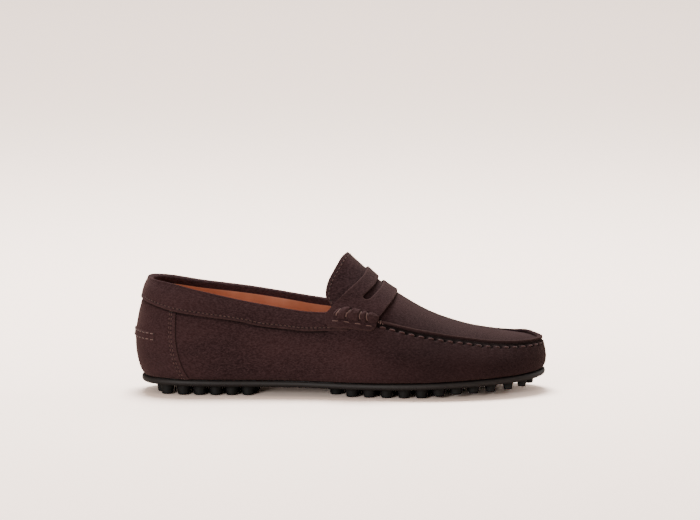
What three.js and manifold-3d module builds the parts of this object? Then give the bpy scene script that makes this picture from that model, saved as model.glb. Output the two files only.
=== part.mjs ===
// A right-foot driving moccasin: suede upper with a raised apron seam, a slotted saddle strap with
// wrapped rolls at its ends, a folded collar, leather linings and a studded rubber sole.
// Millimetres. X runs from heel to toe, Y towards the wearer's left (the inner side), Z up.
import * as THREE from "three";
import { mergeVertices } from "three/addons/utils/BufferGeometryUtils.js";
import Module from "manifold-3d";

const wasm = await Module();
wasm.setup();

// ---------------------------------------------------------------- driving dimensions
const leather = 1.3; // suede thickness
const layerGap = 0.3; // clearance between neighbouring layers
const liningThick = 0.8;
const soleThick = 4.2; // rubber plate, rim included
const heelPitch = 11.2;
const forePitch = 12;
const studBase = 4.6; // radius at the root
const studTip = 3.9; // radius at the tip
const toeStudShare = 0.72; // size of the studs at the toe
const lastStudRow = 268.3;
const padWeb = 1; // backing web that joins a pad's studs under the sole
const webGap = 0.15;
const edgeToStud = 9; // sole edge to the centre of the outermost stud
const lipHeight = 2.6; // how far the raised apron seam stands above the apron
const collarTurn = 4.8; // inner leg of the collar
const collarThick = 1.1;
const threadThick = 0.9;
const toeColumn = 12; // the outline's point at the toe tip
const columns = 24; // points round the outline
const heelSeam = 2.1; // outline parameter of the heel piece's front edge
const collarFront = 5.4; // where the collar ends, at the strap
const strapRear = 5.62; // the strap's rear edge at the instep, in columns
const strapFront = 6.5;
const strapFlare = 0.2; // how much further back the strap's rear edge lies at the sides
const strapDrop = 10; // the strap's tabs, down from the wall's top edge
const slotFrom = 0.36; // share of the strap's width
const slotTo = 0.56;
const slotMiddle = (slotFrom + slotTo) / 2;
const bandReach = 1.42; // the heel band's half length, in columns
const bandLow = 0.4; // its lower and upper edge, as shares of the wall
const bandHigh = 0.495;
const tongueSkew = 0.14; // the tongue's tip leans to the outer side
const tongueCut = 3.4; // how much shorter its inner half is
const slotHalf = 0.55; // half length, as a share of the arch
const rollHeight = 8.5;
const rollRise = 4;
const bandRise = 0.7; // heel band over the heel piece

// Sole edge seen from above: heel, outer side, toe, inner side.
const outline = [
  [5.8, 0], [11, -18.5], [27, -29.5], [52, -33], [85, -33.5], [118, -36],
  [150, -42], [182, -47.5], [212, -48], [240, -42], [262, -31], [277, -17],
  [283.6, 2], [279, 20], [265, 33], [244, 41.5], [216, 45.5], [186, 43],
  [155, 35], [122, 28.5], [88, 28], [54, 31], [28, 29], [11, 18.5],
];
// Each row is [distance from the heel, value].
const soleTop = [[0, 11.5], [25, 11.4], [50, 11.1], [110, 10.9], [150, 10.3], [180, 10.6], [205, 11.2],
  [240, 12.6], [260, 13.5], [272, 14.2], [285, 15.4]];
const studFoot = [[0, 0], [195, 0], [223, 2.4], [235, 2.9], [247, 3.2], [259, 3.9], [268, 4.9], [276, 5.8]];
const wallTopOuter = [[5, 78.8], [24, 76.4], [45, 71.6], [73, 65.6], [89, 62.6], [116, 58.2], [134, 57.4],
  [150, 56.6], [168, 53.8], [194, 47.8], [215, 44.2], [230, 42.1], [250, 39], [266, 37.8], [276, 37.8],
  [284, 37.6]];
const wallTopInner = [[5, 78.8], [24, 76.1], [45, 72.5], [73, 68.9], [89, 66.5], [116, 61.8], [134, 58.8],
  [150, 56.8], [168, 54], [194, 48.6], [215, 45], [230, 42.4], [250, 39.8], [266, 39.2], [276, 39.6],
  [284, 37.6]];
const insetOuter = [[5, 3.9], [27, 4.8], [52, 5.5], [85, 4.2], [118, 4.2], [150, 7], [182, 10], [212, 11],
  [240, 10], [262, 7], [277, 3], [284, 1]];
const insetInner = [[5, 3.9], [28, 4.8], [54, 3.5], [88, -0.5], [122, -1.5], [155, 1.5], [186, 6.5],
  [216, 9.5], [244, 9.5], [265, 6.5], [279, 2.8], [284, 1]];
const bulge = [[5, 6], [30, 5.2], [85, 4.2], [182, 4], [240, 4], [262, 3.2], [284, 2.4]];
// The ridge line of apron, strap bed and tongue seen from the side.
const crown = [[148, 96.4], [155, 90.6], [161, 84.9], [171, 76], [182, 68.4], [198, 58.6], [214, 51.2],
  [231, 46.1], [246, 43.2], [254, 41.4], [264, 40], [274, 38.2], [279, 36.4], [284, 33.4]];
// How far the ridge lies ahead of the section's side points, and how round the section is.
const lean = [[134, 21.8], [152, 16.2], [168, 12], [200, 6.8], [230, 4], [262, 1.5], [277, 0.5], [284, 0]];
const roundness = [[134, 0.85], [168, 0.7], [200, 0.4], [230, 0.2], [284, 0.1]];

// Outer leg of the collar, down from the wall's top edge.
const collarDrops = [[5, 13.2], [14, 15], [27, 16.6], [45, 15.4], [73, 13.4], [89, 13.6], [105, 12.4], [124, 11.6], [145, 10]];
// How far the tongue's free edge lies behind and above the strap's rear edge, by share of the arch.
const tongueBack = [[-0.15, 15.5], [0, 12.4], [0.15, 15.5], [0.3, 17.8], [0.5, 18.7], [0.7, 15.1],
  [0.85, 8], [1, 2]];
const tongueRise = [[-0.15, 10.9], [0, 12.1], [0.15, 10.9], [0.3, 8.3], [0.5, 4.8], [0.7, 2.8], [0.85, 2.8],
  [1, 3]];

// ---------------------------------------------------------------- curves
function smoothstep(low, high, x) {
  const t = Math.min(1, Math.max(0, (x - low) / (high - low)));
  return t * t * (3 - 2 * t);
}

// Smooth curve through a table of [position, value] rows, held at its ends.
function along(table, x) {
  const last = table.length - 1;
  if (x <= table[0][0]) return table[0][1];
  if (x >= table[last][0]) return table[last][1];
  let i = 0;
  while (table[i + 1][0] < x) i += 1;
  const slope = (k) => {
    const a = table[Math.max(0, k - 1)];
    const b = table[Math.min(last, k + 1)];
    return (b[1] - a[1]) / (b[0] - a[0]);
  };
  const width = table[i + 1][0] - table[i][0];
  const t = (x - table[i][0]) / width;
  const rise = table[i + 1][1] - table[i][1];
  const s0 = slope(i) * width;
  const s1 = slope(i + 1) * width;
  return table[i][1] + s0 * t + (3 * rise - 2 * s0 - s1) * t * t + (s0 + s1 - 2 * rise) * t * t * t;
}

// Point on the closed sole edge at parameter c, 0 at the heel and 12 at the toe.
function edgePoint(c) {
  const n = outline.length;
  const u = ((c % n) + n) % n;
  const i = Math.floor(u);
  const t = u - i;
  const [a, b, d, e] = [i - 1, i, i + 1, i + 2].map((k) => outline[(k + n) % n]);
  return [0, 1].map((k) => 0.5 * (2 * b[k] + (d[k] - a[k]) * t
    + (2 * a[k] - 5 * b[k] + 4 * d[k] - e[k]) * t * t + (3 * b[k] - a[k] - 3 * d[k] + e[k]) * t * t * t));
}

// Unit vector out of the sole edge, in plan.
function edgeOut(c) {
  const step = 0.02;
  const [x0, y0] = edgePoint(c - step);
  const [x1, y1] = edgePoint(c + step);
  const length = Math.hypot(x1 - x0, y1 - y0);
  return [(y1 - y0) / length, -(x1 - x0) / length];
}

// Share of the inner side's shape at column c: 0 on the outer side, 1 on the inner side.
function innerShare(c) {
  const u = ((c % columns) + columns) % columns;
  const across = Math.sin((u / columns) * 2 * Math.PI);
  return smoothstep(-0.35, 0.35, -across);
}

function mixed(outer, inner, c, x) {
  const share = innerShare(c);
  return along(outer, x) * (1 - share) + along(inner, x) * share;
}

function wallTop(c) {
  return mixed(wallTopOuter, wallTopInner, c, edgePoint(c)[0]);
}

// The heel piece's front edge sweeps forward towards the sole; columns near it follow.
function swept(c, v) {
  const forward = 0.4 * Math.max(0, 1 - v) ** 4;
  const near = (seam) => Math.exp(-(((c - seam) / 0.8) ** 2));
  return c + forward * (near(heelSeam) - near(-heelSeam) - near(columns - heelSeam));
}

// Outer face of the upper's wall: v is 0 at the sole and 1 at the top edge.
function wallFace(column, v) {
  const c = swept(column, v);
  const [x, y] = edgePoint(c);
  const [nx, ny] = edgeOut(c);
  const inset = mixed(insetOuter, insetInner, c, x);
  const height = Math.max(0, v);
  const power = 1.8 + 1.4 * (1 - smoothstep(20, 60, x));
  const out = -inset * height ** power + along(bulge, x) * Math.sin(Math.PI * height ** 0.75);
  const bottom = along(soleTop, x) + layerGap;
  return new THREE.Vector3(x + nx * out, y + ny * out, bottom + (wallTop(c) - bottom) * v);
}

function normalOf(face, a, b, da, db) {
  const across = face(a + da, b).sub(face(a - da, b));
  const up = face(a, b + db).sub(face(a, b - db));
  return across.cross(up).normalize();
}

// Point at depth d (inwards) under the wall's outer face.
function wall(c, v, d) {
  return wallFace(c, v).addScaledVector(normalOf(wallFace, c, v, 0.05, 0.02), -d);
}

// v of a point h millimetres below the wall's top edge.
function below(c, h) {
  return 1 - h / (wallTop(c) - along(soleTop, edgePoint(c)[0]) - layerGap);
}

// Height of the raised seam: full in front of the strap, none behind it.
function lip(c) {
  const mirrored = Math.min(c, columns - c);
  return lipHeight * smoothstep(strapFront - 0.9, strapFront + 0.2, mirrored);
}

// Point of the arch between the ridge line and a side point, t from -1 (outer) through 0 to 1 (inner).
function archPoint(c, t, side) {
  const edge = t < 0 ? side(c) : side(columns - c);
  const foot = (side(c).x + side(columns - c).x) / 2;
  const x = foot + along(lean, foot);
  const top = along(crown, x);
  const r = along(roundness, foot);
  const k = Math.abs(t);
  const spread = (1 - r) * k + r * Math.sin((k * Math.PI) / 2);
  const fall = (1 - r) * k ** 2.2 + r * (1 - Math.cos((k * Math.PI) / 2));
  const middle = (side(c).y + side(columns - c).y) / 2;
  return new THREE.Vector3(x + (edge.x - x) * fall, middle + (edge.y - middle) * spread, top + (edge.z - top) * fall);
}

// Side rail of the apron at depth d: where its surface meets the wall.
const apronRail = (d) => (c) => wall(c, below(c, lip(c)), d);

// Point on the apron at depth d; share runs from 0 at the strap's rear edge to 1 at the tongue's free edge.
function apronAt(c, t, d, railDepth, share) {
  const rail = apronRail(railDepth);
  const face = (a, b) => archPoint(a, b, rail);
  const point = face(c, t).addScaledVector(normalOf(face, c, t, 0.05, 0.04), -d);
  const k = Math.abs(t + tongueSkew * (1 - t * t));
  const cut = tongueCut * smoothstep(0, 0.3, t) * (1 - smoothstep(0.6, 1, t));
  return point.add(new THREE.Vector3(cut - along(tongueBack, k), 0, along(tongueRise, k)).multiplyScalar(share));
}

// Outer skin that the strap lies on: a below 1 is the apron's arch, above 1 the wall going down.
function skin(c, a) {
  const k = Math.abs(a);
  const column = a < 0 ? c : columns - c;
  if (k > 1) return wall(column, 2 - k, 0);
  return archPoint(c, a, (q) => wall(q, 1, 0));
}

function skinAt(c, a, lift) {
  return skin(c, a).addScaledVector(normalOf(skin, c, a, 0.05, 0.04), lift);
}

// ---------------------------------------------------------------- meshes
function geometryOf(points, triangles) {
  const geometry = new THREE.BufferGeometry();
  geometry.setAttribute("position", new THREE.Float32BufferAttribute(points.flatMap((p) => p.toArray()), 3));
  geometry.setIndex(triangles);
  return geometry;
}

// Closed sheet between two grids of points; skip(i, j) leaves a cell open.
function sheet(outer, inner, skip = () => false) {
  const rows = outer.length;
  const width = outer[0].length;
  const points = [...outer.flat(), ...inner.flat()];
  const at = (i, j) => i * width + j;
  const under = rows * width;
  const triangles = [];
  const quad = (a, b, c, d) => triangles.push(a, b, c, a, c, d);
  const filled = (i, j) => i >= 0 && j >= 0 && i < rows - 1 && j < width - 1 && !skip(i, j);
  for (let i = 0; i < rows - 1; i += 1)
    for (let j = 0; j < width - 1; j += 1) {
      if (!filled(i, j)) continue;
      const [a, b, c, d] = [at(i, j), at(i, j + 1), at(i + 1, j + 1), at(i + 1, j)];
      quad(a, b, c, d);
      quad(d + under, c + under, b + under, a + under);
      if (!filled(i - 1, j)) quad(b, a, a + under, b + under);
      if (!filled(i, j + 1)) quad(c, b, b + under, c + under);
      if (!filled(i + 1, j)) quad(d, c, c + under, d + under);
      if (!filled(i, j - 1)) quad(a, d, d + under, a + under);
    }
  return geometryOf(points, triangles);
}

function grid(first, second, point) {
  return first.map((a) => second.map((b) => point(a, b)));
}

function steps(from, to, count) {
  return Array.from({ length: count + 1 }, (_, i) => from + ((to - from) * i) / count);
}

// Closed plate across the shoe between two heights, its edge given by rings of [column, ring] points.
function plate(stations, rings) {
  const points = [];
  const ringStart = [];
  for (const ring of rings) {
    ringStart.push(points.length);
    const loop = [...stations, ...stations.slice(1, -1).reverse().map((c) => columns - c)];
    loop.forEach((c) => points.push(ring(c)));
  }
  const n = 2 * stations.length - 2;
  const last = stations.length - 1;
  const triangles = [];
  for (let r = 0; r < rings.length - 1; r += 1)
    for (let i = 0; i < n; i += 1) {
      const j = (i + 1) % n;
      const [a, b] = [ringStart[r] + i, ringStart[r] + j];
      const [c, d] = [ringStart[r + 1] + j, ringStart[r + 1] + i];
      triangles.push(a, b, c, a, c, d);
    }
  const cap = (start, flip) => {
    const inner = (i) => start + (i === 0 ? 0 : i === last ? last : n - i);
    for (let i = 0; i < last; i += 1) {
      const [a, b, c, d] = [start + i, start + i + 1, inner(i + 1), inner(i)];
      for (const t of [[a, d, b], [b, d, c]]) {
        if (new Set(t).size === 3) triangles.push(...(flip ? [t[0], t[2], t[1]] : t));
      }
    }
  };
  cap(ringStart[0], false);
  cap(ringStart[rings.length - 1], true);
  return geometryOf(points, triangles);
}

function solidOf(geometry) {
  const bare = geometry.clone();
  bare.deleteAttribute("normal");
  bare.deleteAttribute("uv");
  const merged = mergeVertices(bare, 1e-4);
  const made = new wasm.Manifold(new wasm.Mesh({
    numProp: 3,
    vertProperties: merged.getAttribute("position").array,
    triVerts: new Uint32Array(merged.index.array),
  }));
  return made;
}

function geometryFrom(solid) {
  const mesh = solid.getMesh();
  const geometry = new THREE.BufferGeometry();
  geometry.setAttribute("position", new THREE.BufferAttribute(new Float32Array(mesh.vertProperties), 3));
  geometry.setIndex(new THREE.BufferAttribute(new Uint32Array(mesh.triVerts), 1));
  return geometry;
}

// Thread laid along points: a four-sided tube.
function threadAlong(points, thick = threadThick) {
  const curve = new THREE.CatmullRomCurve3(points);
  const half = thick / 2;
  const section = new THREE.Shape();
  section.moveTo(half, 0);
  section.lineTo(0, half);
  section.lineTo(-half, 0);
  section.lineTo(0, -half);
  section.closePath();
  return new THREE.ExtrudeGeometry(section, { steps: Math.round(points.length * 1.5), extrudePath: curve, bevelEnabled: false });
}

// ---------------------------------------------------------------- stations
const heelColumns = steps(-heelSeam, heelSeam, 14);
const overlapColumns = heelColumns.slice(-3, -1);
const outerColumns = [...steps(heelSeam, 9, 12), ...steps(9, toeColumn, 12).slice(1)];
const sideColumns = [...outerColumns, ...outerColumns.slice(0, -1).reverse().map((c) => columns - c)];
const vampColumns = [...overlapColumns, ...sideColumns, ...overlapColumns.slice().reverse().map((c) => columns - c)];
const halfColumns = [...heelColumns.slice(7, -1), ...outerColumns];
const wallHeights = [0, 0.1, 0.22, 0.36, 0.5, 0.64, 0.78, 0.9, 1];

// ---------------------------------------------------------------- materials
const finish = (colour, roughness) => new THREE.MeshStandardMaterial({ color: colour, roughness, metalness: 0 });
const suede = finish(0x3b2424, 0.95);
const tanLeather = finish(0xb5623a, 0.55);
const thread = finish(0x5d3f3c, 0.8);
const soleRubber = finish(0x35302e, 0.6);
const studRubber = finish(0x161413, 0.6);
const board = finish(0x9a8263, 0.9);
const foam = finish(0xd8cdb4, 0.95);
const stiffener = finish(0xcfc8ba, 0.7);

const moccasin = new THREE.Group();

function add(name, geometry, material) {
  const mesh = new THREE.Mesh(geometry, material);
  mesh.name = name;
  moccasin.add(mesh);
}

// ---------------------------------------------------------------- sole
function soleRing(out, drop) {
  return (c) => {
    const [x, y] = edgePoint(c);
    const [nx, ny] = edgeOut(c);
    return new THREE.Vector3(x + nx * out, y + ny * out, along(soleTop, x) - drop);
  };
}

// Row centres of the studs of one pad; edge studs stand edgeToStud inside the sole's edge.
function studRows(from, count, pitch, bow) {
  const centres = [];
  for (let i = 0; i < count; i += 1) {
    const x = Math.min(from + i * pitch, lastStudRow);
    const [outerY, innerY] = edgeAt(x);
    const across = innerY - outerY - 2 * edgeToStud;
    const gaps = Math.max(1, Math.round(across / forePitch));
    for (let k = 0; k <= gaps; k += 1) {
      const y = outerY + edgeToStud + (across * k) / gaps;
      const middle = 1 - Math.abs((2 * k) / gaps - 1) ** 2;
      centres.push([x + bow(x) * middle, y]);
    }
  }
  return centres;
}

// Outer and inner y of the sole's edge at x.
function edgeAt(x) {
  const find = (low, high) => {
    let [a, b] = [low, high];
    for (let k = 0; k < 40; k += 1) {
      const m = (a + b) / 2;
      if (edgePoint(m)[0] < x) a = m;
      else b = m;
    }
    return edgePoint(a)[1];
  };
  return [find(0, toeColumn), find(columns, toeColumn)];
}

function studSolid([x, y]) {
  const root = along(soleTop, x) - soleThick - webGap - padWeb / 2;
  const tip = Math.max(0, along(studFoot, x));
  const size = 1 - (1 - toeStudShare) * smoothstep(215, 275, x);
  const stud = new THREE.CylinderGeometry(studBase * size, studTip * size, root - tip, 8);
  stud.rotateX(Math.PI / 2);
  stud.translate(x, y, (root + tip) / 2);
  return solidOf(stud);
}

// Backing web of a pad: a strip that follows the sole's underside from one x to another.
function padWebSolid(from, to) {
  const inset = edgeToStud - studBase + 1;
  const line = (x, drop) => {
    const [outerY, innerY] = edgeAt(x);
    const z = along(soleTop, x) - soleThick - drop;
    return [innerY - inset, outerY + inset].map((y) => new THREE.Vector3(x, y, z));
  };
  const stations = steps(from, to, 12);
  return solidOf(sheet(stations.map((x) => line(x, webGap)), stations.map((x) => line(x, webGap + padWeb))));
}

function studPad(from, to, centres) {
  let pad = padWebSolid(from, to);
  for (const centre of centres) pad = pad.add(studSolid(centre));
  return pad;
}

const heelPad = {
  from: 16,
  to: 86,
  centres: studRows(22.5, 6, heelPitch, (x) => 4 * smoothstep(60, 78, x) - 3.5 * smoothstep(32, 23, x)),
};
const forePad = {
  from: 136,
  to: 273,
  centres: [[139.5, -21], [139.5, -8], [139.5, 5], [139.5, 17], ...studRows(150.5, 11, forePitch, (x) => 6 * smoothstep(260, 268, x))],
};

function outsole() {
  const rings = [soleRing(-1.2, soleThick), soleRing(0.7, soleThick - 0.8), soleRing(1.2, soleThick / 2), soleRing(0.9, 0)];
  return plate(halfColumns, rings);
}

add("outsole", outsole(), soleRubber);
add("heel_stud_pad", geometryFrom(studPad(heelPad.from, heelPad.to, heelPad.centres)), studRubber);
add("forefoot_stud_pad", geometryFrom(studPad(forePad.from, forePad.to, forePad.centres)), studRubber);

// ---------------------------------------------------------------- footbed
// A plate inside the upper: inset from the wall's foot, low and high above the sole.
function footbedPlate(inset, low, high) {
  const ring = (z) => (c) => {
    const [x, y] = edgePoint(c);
    const [nx, ny] = edgeOut(c);
    return new THREE.Vector3(x - nx * inset, y - ny * inset, along(soleTop, x) + z(x));
  };
  return plate(halfColumns, [ring(low), ring(high)]);
}

const cushionThick = 2;
const boardTop = 3.3;
const raisedHeel = (x) => (cushionThick + layerGap) * smoothstep(104, 84, x);

add("insole_board", footbedPlate(3.2, () => layerGap + leather + layerGap, () => boardTop), board);

function heelCushion() {
  const stations = steps(14, 82, 8);
  const line = (x, z) => {
    const [outerY, innerY] = edgeAt(x);
    const inset = 6.5;
    return steps(innerY - inset, outerY + inset, 4).map((y) => new THREE.Vector3(x, y, along(soleTop, x) + z));
  };
  const low = boardTop + layerGap;
  return sheet(stations.map((x) => line(x, low + cushionThick)), stations.map((x) => line(x, low)));
}

add("heel_cushion", heelCushion(), foam);
add("sock", footbedPlate(3.4, (x) => boardTop + layerGap + raisedHeel(x), (x) => boardTop + layerGap + 1.2 + raisedHeel(x)), tanLeather);

// ---------------------------------------------------------------- upper
// The heel piece laps over the vamp: its front edge stands proud and its back lies flush.
const lapReach = 0.6;
const lapRise = 0.9;
function lap(column, v) {
  const c = column > toeColumn ? column - columns : column;
  const fromEdge = heelSeam - Math.abs(c);
  return lapRise * (1 - smoothstep(0, lapReach, fromEdge)) * (1 - smoothstep(0.62, 0.72, v));
}

function heelPiece() {
  const outer = grid(wallHeights, heelColumns, (v, c) => wall(c, v, -lap(c, v)));
  const inner = grid(wallHeights, heelColumns, (v, c) => wall(c, v, leather * 0.7 - lap(c, v)));
  return sheet(outer, inner);
}

function vamp() {
  const lapped = (c) => Math.min(c, columns - c) < heelSeam + 0.01;
  const outerDepth = (v, c) => (lapped(c) ? leather * 0.7 - lap(c, v) + layerGap : 0);
  const outer = grid(wallHeights, vampColumns, (v, c) => wall(c, v, outerDepth(v, c)));
  const inner = grid(wallHeights, vampColumns, (v, c) => wall(c, v, leather + (lapped(c) ? 0.3 : 0)));
  const ring = (z) => (c) => {
    const [x, y] = edgePoint(c);
    const [nx, ny] = edgeOut(c);
    const inset = 0.9 + 8 * (1 - smoothstep(heelSeam + 0.3, heelSeam + 0.9, Math.min(c, columns - c)));
    return new THREE.Vector3(x - nx * inset, y - ny * inset, along(soleTop, x) + z);
  };
  const under = plate(halfColumns, [ring(layerGap), ring(layerGap + leather)]);
  return geometryFrom(solidOf(sheet(outer, inner)).add(solidOf(under)));
}

add("vamp", vamp(), suede);
add("heel_piece", heelPiece(), suede);

function heelCounter() {
  const heights = [0.06, 0.2, 0.36, 0.5, 0.62, 0.7];
  const face = (d) => grid(heights, heelColumns.slice(2, -2), (v, c) => wall(c, v * (1 - 0.25 * smoothstep(1, 1.5, Math.abs(c))), d));
  const start = leather + 2 * layerGap;
  return sheet(face(start), face(start + 0.7));
}

function lining(stations, topGap, start) {
  const shares = steps(0, 1, 6);
  const face = (d) => grid(shares, stations, (k, c) => {
    const foot = below(c, wallTop(c) - along(soleTop, edgePoint(c)[0]) - 2.2);
    return wall(c, foot + (below(c, topGap(c)) - foot) * k, d(c));
  });
  return sheet(face(start), face((c) => start(c) + liningThick));
}

const counterRoom = (c) => leather + 2 * layerGap + 1 * (1 - smoothstep(heelSeam + 0.05, heelSeam + 1.2, Math.abs(c)));
const quarterColumns = [...outerColumns.filter((c) => c > heelSeam && c < 6.2).reverse().map((c) => -c),
  ...heelColumns, ...outerColumns.filter((c) => c > heelSeam && c < 6.2)];
const vampLiningColumns = sideColumns.filter((c) => c > 6.2 && c < columns - 6.2);

add("heel_counter", heelCounter(), stiffener);
add("quarter_lining", lining(quarterColumns, () => collarTurn + 0.5, counterRoom), tanLeather);
add("vamp_lining", lining(vampLiningColumns, (c) => lip(c) + 3, () => leather + layerGap), tanLeather);

// ---------------------------------------------------------------- apron and tongue
const apronColumns = outerColumns.filter((c) => c > strapRear + 0.2).reverse();
const apronShares = [-0.97, -0.8, -0.6, -0.4, -0.2, 0, 0.2, 0.4, 0.6, 0.8, 0.97];

function apron() {
  const rail = leather + 1.5 * layerGap;
  const tipColumn = 11.5;
  const rowColumns = apronColumns.filter((c) => c < tipColumn - 0.1);
  const face = (depth, lipDepth) => {
    const side = (c, sign) => {
      const column = sign < 0 ? c : columns - c;
      return [wall(column, 1, lipDepth), wall(column, below(column, lip(column) + depth), lipDepth)];
    };
    const front = (depthBelow) => {
      const span = steps(tipColumn, columns - tipColumn, apronShares.length + 1);
      const lipRow = span.map((c) => wall(c, below(c, depthBelow(c)), lipDepth));
      return [lipRow[0], ...lipRow, lipRow[lipRow.length - 1]];
    };
    const rows = [];
    rows.push(front(() => 0));
    rows.push(front((c) => lip(c) + depth));
    for (const c of [...rowColumns, strapRear])
      rows.push([...side(c, -1), ...apronShares.map((t) => apronAt(c, t, depth, rail + leather, 0)), ...side(c, 1).reverse()]);
    for (const f of [0.3, 0.6, 0.85, 1])
      rows.push([
        ...side(strapRear, -1).map((p) => p.add(new THREE.Vector3(-f * 0.5, 0, f * 0.5))),
        ...apronShares.map((t) => apronAt(strapRear, t, depth, rail + leather, f)),
        ...side(strapRear, 1).reverse().map((p) => p.add(new THREE.Vector3(-f * 0.5, 0, f * 0.5))),
      ]);
    return rows;
  };
  return [face(0, rail + leather), face(leather, rail)];
}

const [apronTop, apronUnder] = apron();
add("apron", sheet(apronTop, apronUnder), suede);

// ---------------------------------------------------------------- collar
// Folded band over the wall's top edge: outer leg, fold, inner leg.
function collarDrop(c) {
  return along(collarDrops, edgePoint(c)[0]);
}

function collar() {
  const stations = [...outerColumns.filter((c) => c > heelSeam && c < collarFront).concat(collarFront).reverse().map((c) => -c),
    ...heelColumns, ...outerColumns.filter((c) => c > heelSeam && c < collarFront), collarFront];
  const section = (outDepth, inDepth, rise) => (c) => {
    const top = (d, lift) => wall(c, 1, d).add(new THREE.Vector3(0, 0, lift));
    const middle = (outDepth + inDepth) / 2;
    return [
      wall(c, below(c, collarDrop(c)), outDepth), wall(c, below(c, collarDrop(c) * 0.66), outDepth),
      wall(c, below(c, collarDrop(c) * 0.33), outDepth), top(outDepth, 0),
      top(outDepth + (middle - outDepth) * 0.45, rise * 0.8), top(middle, rise), top(inDepth + (middle - inDepth) * 0.45, rise * 0.8),
      top(inDepth, 0), wall(c, below(c, collarTurn), inDepth),
    ];
  };
  const face = (section_) => {
    const sections = stations.map(section_);
    return sections[0].map((_, k) => sections.map((points) => points[k]));
  };
  const away = layerGap + collarThick;
  return sheet(
    face(section(-away, leather + away, layerGap + collarThick)),
    face(section(-layerGap, leather + 1.3 * layerGap, layerGap)),
  );
}

add("collar", collar(), suede);

function heelBand() {
  const stations = steps(-bandReach, bandReach, 12);
  const face = (d) => grid(steps(bandLow, bandHigh, 3), stations, (v, c) => wall(c, v, d));
  return sheet(face(-layerGap - bandRise), face(-layerGap));
}

add("heel_band", heelBand(), suede);

// ---------------------------------------------------------------- strap and rolls
const strapLift = layerGap;
const strapWidths = [0, 0.18, slotFrom, slotTo, 0.8, 1];
const strapShares = [-1, -0.93, -0.86, -0.78, -0.66, -slotHalf, -0.4, -0.2, 0, 0.2, 0.4, slotHalf, 0.66, 0.78, 0.86, 0.93, 1];

function strapColumn(a, w) {
  const rear = strapRear - strapFlare * smoothstep(0.3, 1, Math.abs(a));
  return rear + (strapFront - rear) * w;
}

function strapArch(s) {
  return Math.abs(s) <= slotHalf ? s : Math.sign(s) * (slotHalf + (Math.abs(s) - slotHalf) * 1.49);
}

function strap() {
  const face = (lift) => grid(strapWidths, strapShares, (w, s) => {
    const round = Math.abs(s) === 1 ? 0.84 : 1;
    const slotEnd = Math.abs(s) === slotHalf && Math.abs(w - slotMiddle) < 0.11 ? 0.6 : 1;
    const across = 0.5 + (w - 0.5) * round;
    return skinAt(strapColumn(s, slotMiddle + (across - slotMiddle) * slotEnd), strapArch(s), lift);
  });
  const isSlot = (i, j) => strapWidths[i] === slotFrom && Math.abs(strapShares[j] + 0.01) < slotHalf;
  return sheet(face(strapLift), face(strapLift + leather), isSlot);
}

add("saddle_strap", strap(), suede);

function roll(side) {
  const lengths = steps(0.04, 1.02, 14);
  const across = steps(-1, 1, 6);
  const base = strapLift + leather + layerGap;
  const half = rollHeight / 2 / 45;
  const wraps = [0.07, 0.3, 0.56, 0.74];
  const face = (bump) => grid(lengths, across, (w, q) => {
    const pinch = wraps.reduce((sum, at) => sum + Math.exp(-(((w - at) / 0.035) ** 2)), 0);
    const end = Math.sqrt(Math.max(0.04, 1 - ((w - 0.53) / 0.5) ** 8));
    const rise = bump * (rollRise * end - 0.7 * pinch) * Math.sqrt(1.06 - q * q);
    return skinAt(strapColumn(1, w), side * (1 + q * half), base + 0.2 * bump + rise);
  });
  const [outer, inner] = [face(1), face(0)];
  return side < 0 ? sheet(outer, inner) : sheet(outer.reverse(), inner.reverse());
}

add("beef_roll_outer", roll(-1), suede);
add("beef_roll_inner", roll(1), suede);

// ---------------------------------------------------------------- threads
const threadLift = layerGap + threadThick / 2;
const aroundHeel = (last) => steps(-last, last, 28);

add("collar_thread", threadAlong(aroundHeel(collarFront - 0.05).map(
  (c) => wall(c, below(c, collarDrop(c) - 2), -layerGap - collarThick - threadLift))), thread);
add("heel_band_thread_upper", threadAlong(steps(0.1 - bandReach, bandReach - 0.1, 12).map(
  (c) => wall(c, bandHigh - 0.012, -layerGap - bandRise - threadLift))), thread);
add("heel_band_thread_lower", threadAlong(steps(0.1 - bandReach, bandReach - 0.1, 12).map(
  (c) => wall(c, bandLow + 0.012, -layerGap - bandRise - threadLift))), thread);

for (const [name, side] of [["outer", 1], ["inner", -1]]) {
  for (const [row, back] of [["front", 0.12], ["rear", 0.2]]) {
    add(`heel_piece_thread_${name}_${row}`, threadAlong(steps(0.03, 0.7, 10).map((v) => {
      const c = side * (heelSeam - back);
      return wall(c, v, -lap(c, v) - threadLift);
    })), thread);
  }
}

const seamColumns = sideColumns.filter((c) => c > strapFront + 0.2 && c < columns - strapFront - 0.2);
add("apron_thread", threadAlong(seamColumns.map((c) => wall(c, below(c, 3), -threadLift))), thread);

// ---------------------------------------------------------------- frame
// Origin at the middle of the whole shoe, on the ground.
const size = new THREE.Box3().setFromObject(moccasin);
const middle = size.getCenter(new THREE.Vector3());
moccasin.traverse((object) => {
  if (object.isMesh) object.geometry.translate(-middle.x, -middle.y, 0);
});

export default moccasin;
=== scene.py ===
"""Driving moccasin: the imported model's upper, sole and threads rebuilt in detail.

Laid out as an add-on with one operator a piece. Millimetres inside the shape functions, where X runs
from the heel's rearmost point to the toe; metres in the finished meshes.
"""

import math

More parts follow.
